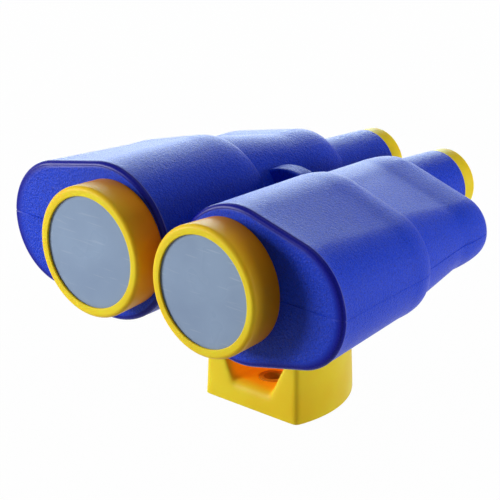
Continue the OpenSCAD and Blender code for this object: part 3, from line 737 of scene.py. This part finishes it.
def barrel_half(mould, body, side, upper):
    """Adds half a barrel as a closed strip: an outer grid with a groove along the seam, an inner
    grid, and the faces that join their edges. Row values mark the front edge's band of painted dark
    reflection and the painted highlight lines along the creases."""
    drop = (body.axis_z - body.seam_z) * upper
    skin = barrel_surface(body, drop, True)
    lining = barrel_surface(body, drop, False)
    normal = grid_normals(skin)
    rows, columns = skin.shape[:2]
    total = rows * columns
    sink = np.zeros(columns)
    sink[[0, -1]] = body.groove
    middle = skin[:, columns // 2]
    from_middle = middle - middle.mean(axis=0)
    outward = np.sign(np.sum(normal[:, columns // 2] * from_middle, axis=1).sum())
    skin = skin - outward * normal * sink[None, :, None]
    numbers = np.arange(total).reshape(rows, columns)
    edges = numbers[0], numbers[-1], numbers[:, 0], numbers[:, -1]
    faces = np.concatenate([
        grid_faces(rows, columns), grid_faces(rows, columns, total),
        *(strip_faces(edge, edge + total) for edge in edges)])
    band, crease_highlight = np.zeros(rows), np.zeros(rows)
    edge_end = FACE_ROWS + EDGE_ROWS - 1
    step_end = edge_end + FRONT_ROWS - 2 + STEP_ROWS
    # Rows of the front edge's band of painted dark reflection
    band[FACE_ROWS:edge_end] = 1
    band[FACE_ROWS - 1], band[edge_end] = BAND_BEFORE, BAND_AFTER
    # Painted highlight lines: on the front edge's outer side and on the step
    crease_highlight[edge_end], crease_highlight[step_end] = 1, STEP_HIGHLIGHT
    points = np.concatenate([skin.reshape(-1, 3), lining.reshape(-1, 3)])
    points = points * [side, 1, upper] + [0, 0, body.seam_z]
    pad = np.zeros(total)
    mould.add(points, faces,
              edge_band=np.concatenate([spread(band, columns).ravel(), pad]),
              crease_line=np.concatenate([spread(crease_highlight, columns).ravel(), pad]))


def block_between(mould, loop_y, loop_z, half_width, steps, lift=None):
    """Adds a closed loop in the plane of y and z, carried across from one side to the other: each
    point of the loop spans its own half width, and lift raises the points as a function of x."""
    across = np.linspace(-1, 1, steps)[:, None]
    x = across * half_width[None, :]
    z = np.broadcast_to(loop_z[None, :], x.shape)
    if lift is not None:
        z = z + lift(x)
    y = np.broadcast_to(loop_y[None, :], x.shape)
    first = np.arange(len(loop_y))
    last = first + (steps - 1) * len(loop_y)
    faces = grid_faces(steps, len(loop_y), 0, False, True).tolist()
    mould.add(np.stack([x, y, z], axis=2), faces + [first.tolist(), last.tolist()])


CORNER_POINTS = 7
WEB_EDGE, WEB_POINTS, WEB_STEPS = 0.001, 12, 9
BRIDGE_TRIES, BRIDGE_STEPS, BRIDGE_FOOT, ARCH_START = 400, 41, 0.004, 0.6
SADDLE_EDGE, SADDLE_STEPS = 0.0008, 9
RIB_LIFT, RIB_EDGE, RIB_STEPS = 0.001, 0.0002, 5
BOSS_EDGE, BOSS_LIFT, BOSS_SEGMENTS = 0.0006, 0.00002, 32


def rounded_loop(low_y, high_y, low_z, high_z, top, bottom):
    """Loop round a rectangle in the plane of y and z: a quarter round at each corner, of the top's
    radius or the bottom's."""
    angle = np.linspace(0, np.pi / 2, CORNER_POINTS)
    corners = [(high_y, high_z, top, 1, 1), (low_y, high_z, top, -1, 1),
               (low_y, low_z, bottom, -1, -1), (high_y, low_z, bottom, 1, -1)]
    y, z = [], []
    for turns, (corner_y, corner_z, radius, sign_y, sign_z) in enumerate(corners):
        turned = angle + turns * np.pi / 2
        y.append(corner_y - sign_y * radius + radius * np.cos(turned))
        z.append(corner_z - sign_z * radius + radius * np.sin(turned))
    return np.concatenate(y), np.concatenate(z)


def between_barrels(section, height, let_in):
    """Half the space between the barrels at a height from the seam, let into their walls."""
    inner_x = section[0] + section[1]
    radius = section[1] - let_in
    height = np.minimum(np.abs(height), radius)
    return inner_x - np.sqrt(np.maximum(radius ** 2 - height ** 2, 0))


def web(mould, body, upper):
    """Adds half the web: a slab between the barrels, from the seam to the web's height."""
    front = body.front_reach - body.end_wall - body.edge_r
    loop_y, loop_z = rounded_loop(
        -front, body.rear_reach - body.end_wall / 2, 0, body.web_h, WEB_EDGE, 0)
    last = CORNER_POINTS - 1
    top_y = mix(loop_y[last], loop_y[last + 1], np.linspace(0, 1, WEB_POINTS))[1:-1]
    loop_y = np.insert(loop_y, last + 1, top_y)
    loop_z = np.insert(loop_z, last + 1, np.full(len(top_y), loop_z[last]))
    section = sections(body, loop_y)
    half = section[:, 0] + body.wall / 2
    late = np.clip((loop_y - body.rear_back) / (body.rear_reach - body.rear_back), 0, 1)
    half = half + late * body.rear_inset
    block_between(mould, loop_y, body.seam_z + upper * loop_z, half, WEB_STEPS)


def bridge(mould, body):
    """Adds the arch between the barrels: an upright slab whose top is an arc."""
    section = sections(body, np.array([body.bridge_y + body.bridge_len / 2]))[0]
    base = body.bridge_crown - body.bridge_r
    heights = np.linspace(0, body.bridge_crown, BRIDGE_TRIES)
    widths = between_barrels(section, heights, body.wall / 2)
    arch = base + np.sqrt(np.maximum(body.bridge_r ** 2 - widths ** 2, 0))
    corner = heights[np.argmin(np.abs(arch - heights))]
    reach = between_barrels(section, corner, body.wall / 2)
    low, high = body.bridge_y, body.bridge_y + body.bridge_len
    edge = body.bridge_edge
    rise = np.linspace(BRIDGE_FOOT, corner - edge, 16)[:-1]
    flat = np.linspace(low + edge, high - edge, 10)[1:-1]
    angle = np.linspace(0, np.pi / 2, 8)
    round_y, round_z = edge * np.cos(angle), corner - edge + edge * np.sin(angle)
    loop_y = np.concatenate([
        np.full(len(rise), low), low + edge - round_y, flat, high - edge + round_y[::-1],
        np.full(len(rise), high)])
    loop_z = np.concatenate([
        rise, round_z, np.full(len(flat), corner), round_z[::-1], rise[::-1]])
    half = between_barrels(section, np.minimum(loop_z, corner), body.wall / 2)
    half = np.where(loop_z > corner - edge - TINY, reach, half)
    raised = (loop_z - ARCH_START * corner) / ((1 - ARCH_START) * corner - edge)
    raised = np.clip(raised, 0, 1)

    def lift(x):
        """Height of the arc over the corners, by how far up a point lies."""
        return (base + np.sqrt(body.bridge_r ** 2 - x ** 2) - corner) * raised[None, :]

    block_between(mould, loop_y, body.seam_z + loop_z, half, BRIDGE_STEPS, lift)


def saddle(mould, body):
    """Adds the saddle: a plate between the barrels, a rib up to the web and four bosses."""
    section = sections(body, np.array([0.0]))[0]
    base = -body.saddle_depth
    ends = -body.saddle_half, body.saddle_half
    loop_y, loop_z = rounded_loop(*ends, base, base + body.saddle_t, SADDLE_EDGE, SADDLE_EDGE)
    half = between_barrels(section, loop_z, body.wall / 2)
    block_between(mould, loop_y, body.seam_z + loop_z, half, SADDLE_STEPS)
    loop_y, loop_z = rounded_loop(*ends, base + RIB_LIFT, -body.web_h / 2, RIB_EDGE, RIB_EDGE)
    half = np.full(len(loop_y), body.wall)
    block_between(mould, loop_y, body.seam_z + loop_z, half, RIB_STEPS)
    ring = np.array([
        [body.hole_r, 0], [body.boss_r, 0], [body.boss_r, body.boss_h - BOSS_EDGE],
        [body.boss_r - BOSS_EDGE, body.boss_h], [body.hole_r, body.boss_h]])
    for x in (-body.boss_x, body.boss_x):
        for y in (-body.boss_y, body.boss_y):
            mould.turned(ring, (x, y, body.seam_z + base + BOSS_LIFT), BOSS_SEGMENTS, "Z")


# Screw wells: their places as shares of the front and the rear section and of the outer radius,
# the points round them, and the cutter that opens the shell
WELL_SHARES, WELL_OFFSETS = (0.35, 0.6), (3, 4)
WELL_POINTS, WELL_FLOOR, WELL_LET_IN, WELL_RUN = 48, 0.003, 0.45, (-0.9, 0.95)
CUTTER_POINTS, CUTTER_DROP, CUTTER_STOP = 64, 0.06, 0.0004


def well_places(body):
    """Places of the screw wells in each barrel: one in the front section and one in the rear."""
    front = -mix(body.front_reach, body.front_back, WELL_SHARES[0])
    rear = mix(body.step_reach, body.rear_back, WELL_SHARES[1])
    section = sections(body, np.array([front, rear]))
    x = section[:, 2] + section[:, 3] / np.array(WELL_OFFSETS)
    return [(side * x[k], (front, rear)[k]) for side in SIDES.values() for k in range(2)]


def wells(mould, body):
    """Adds the lining of the screw wells: tubes whose lower ends follow the skin over the outer
    round, each as a ring of sections."""
    angle = np.linspace(0, 2 * np.pi, WELL_POINTS, endpoint=False)[:, None]
    outer_r = body.well_r + body.well_wall
    radius = np.array([[
        body.well_r, body.well_r, body.well_r, body.hole_r, body.hole_r, outer_r, outer_r]])
    low, high = np.full((2, WELL_POINTS), [[-body.web_h], [-body.web_h + WELL_FLOOR]])
    for x, y in well_places(body):
        outer_x, round_r = sections(body, np.array([y]))[0, 2:]
        px, py = x + radius * np.cos(angle), y + radius * np.sin(angle)
        run = np.clip(np.abs(px) - outer_x, round_r * WELL_RUN[0], round_r * WELL_RUN[1])
        skin = -np.sqrt((round_r - body.wall * WELL_LET_IN) ** 2 - run ** 2)
        z = np.stack([
            skin[:, 0], mix(skin[:, 1], low, 0.5), low, low, high, high, skin[:, -1]], axis=1)
        mould.add(np.stack([px, py, body.seam_z + z], axis=2),
                  grid_faces(*px.shape, 0, True, True))


def cut_wells(shell, body):
    """Opens the shell under each well with a cutter, a cylinder of the well's radius, and keeps the
    mesh that results."""
    cutter = Mould()
    angle = np.linspace(0, 2 * np.pi, CUTTER_POINTS, endpoint=False)
    low = np.arange(CUTTER_POINTS)
    high = low + CUTTER_POINTS
    faces = strip_faces(low, high, True).tolist() + [low.tolist(), high.tolist()]
    levels = body.seam_z - CUTTER_DROP, body.seam_z - body.web_h - CUTTER_STOP
    for x, y in well_places(body):
        px, py = x + body.well_r * np.cos(angle), y + body.well_r * np.sin(angle)
        cutter.add([np.column_stack([px, py, np.full(CUTTER_POINTS, z)]) for z in levels], faces)
    mesh = bpy.data.meshes.new("well_cutter")
    mesh.from_pydata(np.concatenate(cutter.points).tolist(), [], cutter.faces)
    with reworked(mesh) as work:
        bmesh.ops.recalc_face_normals(work, faces=work.faces)
    tool = linked("well_cutter", mesh)
    cut = shell.modifiers.new("wells", "BOOLEAN")
    cut.operation, cut.solver, cut.object = "DIFFERENCE", "EXACT", tool
    closed, opened = shell.data, with_modifiers(shell)
    shell.modifiers.clear()
    shell.data = opened
    bpy.data.meshes.remove(closed)
    bpy.data.objects.remove(tool)
    bpy.data.meshes.remove(mesh)
    opened.name = shell.name


def relaxed(points, edges, weight, rounds):
    """Points drawn half way to the mean of their neighbours, by their weight, in several rounds."""
    here, there = np.concatenate([edges, edges[:, ::-1]]).T
    degree = np.maximum(np.bincount(here, minlength=len(points)), 1)[:, None]
    for _ in range(rounds):
        total = np.stack([np.bincount(here, near, len(points)) for near in points[there].T], axis=1)
        points = points + weight[:, None] / 2 * (total / degree - points)
    return points


# The foot in metres: the layer at its floor, its holes with their margin, and its pocket, which is
# half as wide as POCKET_HALF says from its floor to its top and ends at the front and the back
FLOOR_LAYER = 1e-5
BOLT_HEIGHT, BUSH_KEEP, BOLT_KEEP, KEEP_MARGIN = 0.040, 0.011, 0.0125, 0.004
POCKET_HALF, POCKET_FLOOR, POCKET_SLOPE, POCKET_SKIN = (0.013, 0.0205), 0.0124, 0.48, 0.0008
POCKET_FRONT, FRONT_FADE = -0.0174, 0.0065
POCKET_LOW, LOW_FADE = 0.0078, 0.003
POCKET_BACK, BACK_FADE = 0.0218, 0.0005


def moulded_copy(node, name, material, body, foot, soft, glow, floor=None):
    """A merged copy of a CAD node, remade in even cells and relaxed, so that its edges come out
    rounded: a little everywhere, and more where soft(points) says. With a floor, the copy first
    runs on below it and is cut there afterwards, which keeps its lower edge crisp."""
    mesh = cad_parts[node].data.copy()
    with reworked(mesh) as work:
        bmesh.ops.remove_doubles(work, verts=work.verts, dist=DEGENERATE)
    if floor is not None:
        raw = fetched(mesh.vertices, "co", 3)
        raw[raw[:, 2] < floor + FLOOR_LAYER, 2] = floor - foot.run_on
        mesh.vertices.foreach_set("co", raw.ravel())
    blank = linked(name + "_blank", mesh)
    cells = blank.modifiers.new("cells", "REMESH")
    cells.mode, cells.voxel_size = "VOXEL", foot.voxel
    rounded = with_modifiers(blank)
    bpy.data.objects.remove(blank)
    bpy.data.meshes.remove(mesh)
    points = fetched(rounded.vertices, "co", 3)
    edges = fetched(rounded.edges, "vertices", 2, np.int32)
    points = relaxed(points, edges, np.ones(len(points)), foot.rounds)
    points = relaxed(points, edges, soft(points), foot.soft_rounds)
    rounded.vertices.foreach_set("co", points.ravel())
    # Painted light in the foot's pocket, as glow(points) says
    lit = rounded.attributes.new("glow", "FLOAT", "POINT")
    lit.data.foreach_set("value", glow(points).astype(np.float32))
    if floor is not None:
        with reworked(rounded) as work:
            every = [*work.verts, *work.edges, *work.faces]
            cut = bmesh.ops.bisect_plane(
                work, geom=every, plane_co=(0, 0, floor), plane_no=(0, 0, 1), clear_inner=True)
            rim = [e for e in cut["geom_cut"] if isinstance(e, bmesh.types.BMEdge)]
            bmesh.ops.triangle_fill(work, use_beauty=True, edges=rim)
            bmesh.ops.recalc_face_normals(work, faces=work.faces)
    rounded.update()
    rounded.name = name
    return place_piece(name, rounded, material, body, [node], SOFT_SHARP_ANGLE)


def away_from_holes(points):
    """How softly the foot is rounded: nothing near the bush and the tilt bolt, all beyond them."""
    bush = np.hypot(points[:, 0], points[:, 1])
    bolt = np.hypot(points[:, 1], points[:, 2] - BOLT_HEIGHT)
    return (np.clip((bush - BUSH_KEEP) / KEEP_MARGIN, 0, 1)
            * np.clip((bolt - BOLT_KEEP) / KEEP_MARGIN, 0, 1))


def in_pocket(points):
    """How far a point of the foot lies in the pocket, which sets its painted light: all inside it,
    less towards the front.
    """
    x, y, z = np.abs(points[:, 0]), points[:, 1], points[:, 2]
    half = np.clip(POCKET_HALF[0] + (z - POCKET_FLOOR) * POCKET_SLOPE, *POCKET_HALF) + POCKET_SKIN
    front = np.clip((y - POCKET_FRONT) / FRONT_FADE, 0, 1)
    low = np.clip((z - POCKET_LOW) / LOW_FADE, 0, 1)
    back = np.clip((POCKET_BACK - y) / BACK_FADE, 0, 1)
    return front * (x < half) * low * back


def nowhere(points):
    """No extra rounding, and no light through the walls."""
    return np.zeros(len(points))


def groups(context, *names):
    """The scene's groups of sizes, colours or values, by their short names."""
    return [getattr(context.scene, f"binoculars_{name}") for name in names]


class BINOCULARS_OT_shells(bpy.types.Operator):
    """Make the two moulded shells with their bridge, web, saddle and screw wells"""

    bl_idname = "binoculars.shells"
    bl_label = "Body shells"

    def execute(self, context):
        body, paints = groups(context, "body", "paints")
        material = finish_named("grained_blue", blue_plastic, paints)
        upper, lower, middle, lining = Mould(), Mould(), Mould(), Mould()
        for side in SIDES.values():
            barrel_half(upper, body, side, UPPER)
            barrel_half(lower, body, side, LOWER)
        web(upper, body, UPPER)
        bridge(upper, body)
        web(middle, body, LOWER)
        saddle(middle, body)
        wells(lining, body)
        made = {name: mould.piece(name, material, "binocular", [node], "blue_plastic")
                for name, mould, node in (
                    ("upper_shell_skin", upper, "upper_shell"),
                    ("lower_shell_skin", lower, "lower_shell"),
                    ("lower_shell_middle", middle, "lower_shell"),
                    ("screw_well_linings", lining, "lower_shell"))}
        cut_wells(made["lower_shell_skin"], body)
        return {"FINISHED"}


class BINOCULARS_OT_rims(bpy.types.Operator):
    """Turn the objective rims: a rounded lip, a flared outside, a clip groove and a flange"""

    bl_idname = "binoculars.rims"
    bl_label = "Objective rims"

    def execute(self, context):
        body, rims, paints = groups(context, "body", "rims", "paints")
        lip, face = body.front_reach + rims.rim_len, body.front_reach + rims.gap
        seat = lip - rims.lens_depth
        clip = body.front_reach - body.end_wall - rims.gap
        bore = rims.lens_r + rims.gap
        lip_r, lip_y, inner = rims.rim_r - rims.lip_round, lip - rims.lip_round, rims.lip_round / 4
        profile = np.concatenate([
            [[bore, clip - rims.flange_t], [rims.flange_r, clip - rims.flange_t],
             [rims.flange_r, clip], [rims.clip_r, clip], [rims.clip_r, face]],
            np.linspace([rims.rim_base_r, face], [rims.rim_r, lip_y], 10)[:-1],
            arc(lip_r, lip_y, rims.lip_round, 0, 90, 12),
            arc(rims.lip_bore_r + inner, lip - inner, inner, 90, 180, 8),
            [[rims.lip_bore_r, mix(lip, seat, 0.6)], [rims.lip_bore_r, seat], [bore, seat]]])
        # Painted warm shade: it grows from the lip back towards the shells
        warm = np.clip((lip - profile[:, 1]) / rims.rim_len, 0, 1) ** WARM_RISE
        profile[:, 1] *= -1
        material = finish_named("glossy_yellow", yellow_plastic, paints)
        turned_pair(profile, body.lens_x, body.axis_z, rims.segments, "rim", "objective_rim",
                    material, "yellow_plastic", warm=warm)
        return {"FINISHED"}


class BINOCULARS_OT_lenses(bpy.types.Operator):
    """Turn the lenses: discs with a slightly crowned face and a rounded edge"""

    bl_idname = "binoculars.lenses"
    bl_label = "Lenses"

    def execute(self, context):
        body, rims, paints = groups(context, "body", "rims", "paints")
        material = finish_named("tinted_lens", lens_plastic, paints)
        front = body.front_reach + rims.rim_len - rims.lens_depth
        back = body.tube_reach + rims.cup_len / 2
        kinds = [("objective", body.lens_x, body.axis_z, rims.lens_r, rims.lens_t, front, -1),
                 ("eyepiece", body.eye_x, body.seam_z, rims.eye_lens_r, rims.eye_lens_t, back, 1)]
        for kind, x, z, radius, thick, reach, facing in kinds:
            edge = thick / 6
            flat_r = radius - edge
            r = np.linspace(0, 1, LENS_POINTS) * flat_r
            crown = rims.crown * (1 - (r / flat_r) ** 2)
            profile = np.concatenate([
                np.stack([r, reach - rims.crown + crown], axis=1),
                arc(flat_r, reach - rims.crown - edge, edge, 90, 0, 6)[1:],
                arc(flat_r, reach - thick + edge, edge, 0, -90, 6),
                np.stack([r[::-1], np.full(LENS_POINTS, reach - thick)], axis=1)[1:]])
            profile[:, 1] *= facing
            turned_pair(profile, x, z, rims.segments, f"{kind}_glass", f"{kind}_lens",
                        material, "lens")
        return {"FINISHED"}


class BINOCULARS_OT_eyecups(bpy.types.Operator):
    """Turn the eyecups: a rounded end, a dished inside and the same clip as the rims"""

    bl_idname = "binoculars.eyecups"
    bl_label = "Eyecups"

    def execute(self, context):
        body, rims, paints = groups(context, "body", "rims", "paints")
        end, base = body.tube_reach + rims.cup_len, body.tube_reach + rims.gap
        clip = body.tube_reach - body.end_wall - rims.gap
        seat = end - rims.cup_len / 2
        bore = rims.eye_lens_r + rims.gap
        lip_r = rims.eye_lens_r - rims.eye_lip
        round_r, round_y = rims.cup_r - rims.cup_round, end - rims.cup_round
        edge_r = rims.eye_lens_r + CUP_LIP
        profile = np.concatenate([
            [[bore, clip - rims.flange_t], [rims.cup_flange_r, clip - rims.flange_t],
             [rims.cup_flange_r, clip], [rims.cup_clip_r, clip], [rims.cup_clip_r, base]],
            np.linspace([rims.cup_r, base], [rims.cup_r, round_y], 6)[:-1],
            arc(round_r, round_y, rims.cup_round, 0, 90, 14),
            [[edge_r + CUP_LIP_EDGE, end]],
            np.linspace([edge_r - CUP_LIP_EDGE, end - CUP_LIP_EDGE],
                        [lip_r, seat + rims.eye_lip], 6),
            [[lip_r, seat], [bore, seat]]])
        material = finish_named("glossy_yellow", yellow_plastic, paints)
        turned_pair(profile, body.eye_x, body.seam_z, rims.segments, "cup", "eyecup",
                    material, "yellow_plastic")
        return {"FINISHED"}


class BINOCULARS_OT_foot(bpy.types.Operator):
    """Mould the foot and the knuckle with rounded edges"""

    bl_idname = "binoculars.foot"
    bl_label = "Foot and knuckle"

    def execute(self, context):
        foot, paints = groups(context, "foot", "paints")
        material = finish_named("glossy_yellow", yellow_plastic, paints)
        moulded_copy("swivel_yoke", "foot", material, "yoke", foot,
                     away_from_holes, in_pocket, 0.0)
        moulded_copy("tilt_knuckle", "knuckle", material, "binocular", foot,
                     nowhere, nowhere)
        return {"FINISHED"}


class BINOCULARS_OT_fittings(bpy.types.Operator):
    """Finish the bush, bolt, nut, washers, screws and retainers"""

    bl_idname = "binoculars.fittings"
    bl_label = "Fittings"

    def execute(self, context):
        paints, = groups(context, "paints")
        metal = finish_named("plated_steel", steel, paints)
        bush, dark = (
            finish_named(name, plain_moulding, name, colour, shade, rough)
            for name, colour, shade, rough in (
                ("bush_nylon", paints.nylon, 0.18, 0.42),
                ("dark_moulding", paints.dark, 0.45, 0.5)))
        finishes = {
            metal: ["tilt_bolt", "tilt_nut", "tilt_washers", "knuckle_screws", "shell_screws"],
            bush: ["swivel_bush"],
            dark: [f"{side}_{kind}" for side in SIDES for kind in (
                "friction_washer", "objective_retainer", "eyepiece_retainer")],
        }
        for material, nodes in finishes.items():
            for node in nodes:
                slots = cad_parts[node].data.materials
                slots.clear()
                slots.append(material)
        return {"FINISHED"}


# Lamps: direction from the object, distance and size in metres; each is named like its power
LAMPS = {
    "key": ((-0.75, -0.66, 0.10), 1.4, 0.6),
    "side": ((0.86, 0.46, 0.06), 1.3, 0.6),
    "sheen": ((-0.70, 0.69, 0.20), 1.4, 0.9),
    "overhead": ((0, 0, 1), 1.2, 1.0),
}
SENSOR_WIDTH, CLIP_START, CLIP_END = 36, 0.05, 50
# The floor: half its side, its lines, how far it lies below the object, and its two greys
FLOOR_HALF, FLOOR_LINES, FLOOR_DROP = 4, 9, 0.0004
FLOOR_GREYS = (0.58, 0.58, 0.58), (0.61, 0.61, 0.61)
# Shares of white in the floor: to the camera, and as light from behind on the right and elsewhere
FLOOR_WHITE, BRIGHT_SHARE, PLAIN_SHARE = 0.985, 0.7, 0.10
BRIGHT_RIGHT, BRIGHT_BACK = (0.06, 0.30), (-0.08, 0.12)


class BINOCULARS_OT_stage(bpy.types.Operator):
    """Set up the floor, the white room, the lamps and the camera"""

    bl_idname = "binoculars.stage"
    bl_label = "Stage"

    def execute(self, context):
        values, = groups(context, "stage")
        aim = Vector(values.aim)
        self.floor()
        self.room(context.scene, values)
        for name, (direction, distance, size) in LAMPS.items():
            place = aim + Vector(direction).normalized() * distance
            self.lamp(f"{name}_lamp", place, aim, size, getattr(values, name))
        bpy.data.lights["sheen_lamp"].color = values.sheen_colour
        self.camera(context.scene, values, aim)
        context.scene.view_settings.view_transform = "Standard"
        return {"FINISHED"}

    def camera(self, scene, values, aim):
        """A camera that looks at the aim from its azimuth, elevation and distance."""
        level = math.cos(values.elevation)
        back = Vector((math.sin(values.azimuth) * level, -math.cos(values.azimuth) * level,
                       math.sin(values.elevation)))
        data = bpy.data.cameras.new("camera")
        data.lens, data.sensor_width = values.focal, SENSOR_WIDTH
        data.clip_start, data.clip_end = CLIP_START, CLIP_END
        scene.camera = linked("camera", data)
        scene.camera.matrix_world = Matrix.LocRotScale(
            aim + back * values.distance, back.to_track_quat("Z", "Y"), None)

    def floor(self):
        """A flat square floor: white to the camera and to reflections, shaded by the object, and
        clear from below."""
        lines = np.linspace(-FLOOR_HALF, FLOOR_HALF, FLOOR_LINES)
        x, y = np.meshgrid(lines, lines)
        mesh = bpy.data.meshes.new("floor")
        points = np.stack([x, y, np.full(x.shape, -FLOOR_DROP)], axis=2).reshape(-1, 3)
        mesh.from_pydata(points.tolist(), [], grid_faces(*x.shape)[:, ::-1].tolist())
        f = Finish("floor_white")
        matt = f.node("ShaderNodeBsdfPrincipled", None, {
            "Base Color": f.mix(f.noise(3, 1.0, 0.5), *FLOOR_GREYS),
            "Roughness": 0.9, "Specular IOR Level": 0.0})
        glow = f.node("ShaderNodeEmission", None, {"Color": with_alpha(WHITE), "Strength": 1.0})
        right, back = (
            f.node("ShaderNodeSeparateXYZ", None, {"Vector": f.place}, output=axis)
            for axis in "XY")
        bright = right.over(*BRIGHT_RIGHT) * back.over(*BRIGHT_BACK)
        looked_at = f.looked_at()
        white = looked_at * FLOOR_WHITE + (1 - looked_at) * (bright * BRIGHT_SHARE + PLAIN_SHARE)
        both = f.node("ShaderNodeMixShader", None, {"Fac": white, 1: matt, 2: glow})
        below = f.node("ShaderNodeNewGeometry", output="Backfacing")
        clear = f.node("ShaderNodeBsdfTransparent")
        shown = f.node("ShaderNodeMixShader", None, {"Fac": below, 1: both, 2: clear})
        mesh.materials.append(f.ended(shown))
        linked("floor", mesh)

    def room(self, scene, values):
        """A white room: full white to the camera and to reflections, and softer as a light."""
        scene.world = bpy.data.worlds.new("white_room")
        n = Nodes(scene.world)
        soft, full = (
            n.node("ShaderNodeBackground", None, {"Color": with_alpha(WHITE), "Strength": strength})
            for strength in (values.room, 1.0))
        either = n.node("ShaderNodeMixShader", None, {"Fac": n.looked_at(), 1: soft, 2: full})
        n.node("ShaderNodeOutputWorld", None, {"Surface": either})

    def lamp(self, name, place, aim, size, power):
        """A square area lamp that faces the object."""
        light = bpy.data.lights.new(name, "AREA")
        light.shape, light.size, light.energy = "SQUARE", size, power
        made = linked(name, light)
        made.location = place
        made.rotation_mode = "QUATERNION"
        made.rotation_quaternion = (aim - place).to_track_quat("-Z", "Y")


OPERATORS = (
    BINOCULARS_OT_shells, BINOCULARS_OT_rims, BINOCULARS_OT_lenses, BINOCULARS_OT_eyecups,
    BINOCULARS_OT_foot, BINOCULARS_OT_fittings, BINOCULARS_OT_stage,
)


class BINOCULARS_PT_panel(bpy.types.Panel):
    """Lists the makers of the binoculars' pieces"""

    bl_idname = "BINOCULARS_PT_panel"
    bl_label = "Binoculars"
    bl_space_type = "VIEW_3D"
    bl_region_type = "UI"
    bl_category = "Binoculars"

    def draw(self, context):
        """A button for each operator."""
        for operator in OPERATORS:
            self.layout.operator(operator.bl_idname)


def register():
    """Registers the groups, the operators and the panel, and gives the scene its groups."""
    for kind in (*GROUPS.values(), *OPERATORS, BINOCULARS_PT_panel):
        bpy.utils.register_class(kind)
    for name, kind in GROUPS.items():
        setattr(bpy.types.Scene, name, bpy.props.PointerProperty(type=kind))


def unregister():
    """Takes back all that register has done."""
    for name in GROUPS:
        delattr(bpy.types.Scene, name)
    for kind in (BINOCULARS_PT_panel, *reversed(OPERATORS), *reversed(GROUPS.values())):
        bpy.utils.unregister_class(kind)


def main():
    """Makes the pieces and the stage."""
    register()
    bpy.ops.binoculars.shells()
    bpy.ops.binoculars.rims()
    bpy.ops.binoculars.lenses()
    bpy.ops.binoculars.eyecups()
    bpy.ops.binoculars.foot()
    bpy.ops.binoculars.fittings()
    bpy.ops.binoculars.stage()
    bpy.context.view_layer.update()


if __name__ == "__main__":
    main()
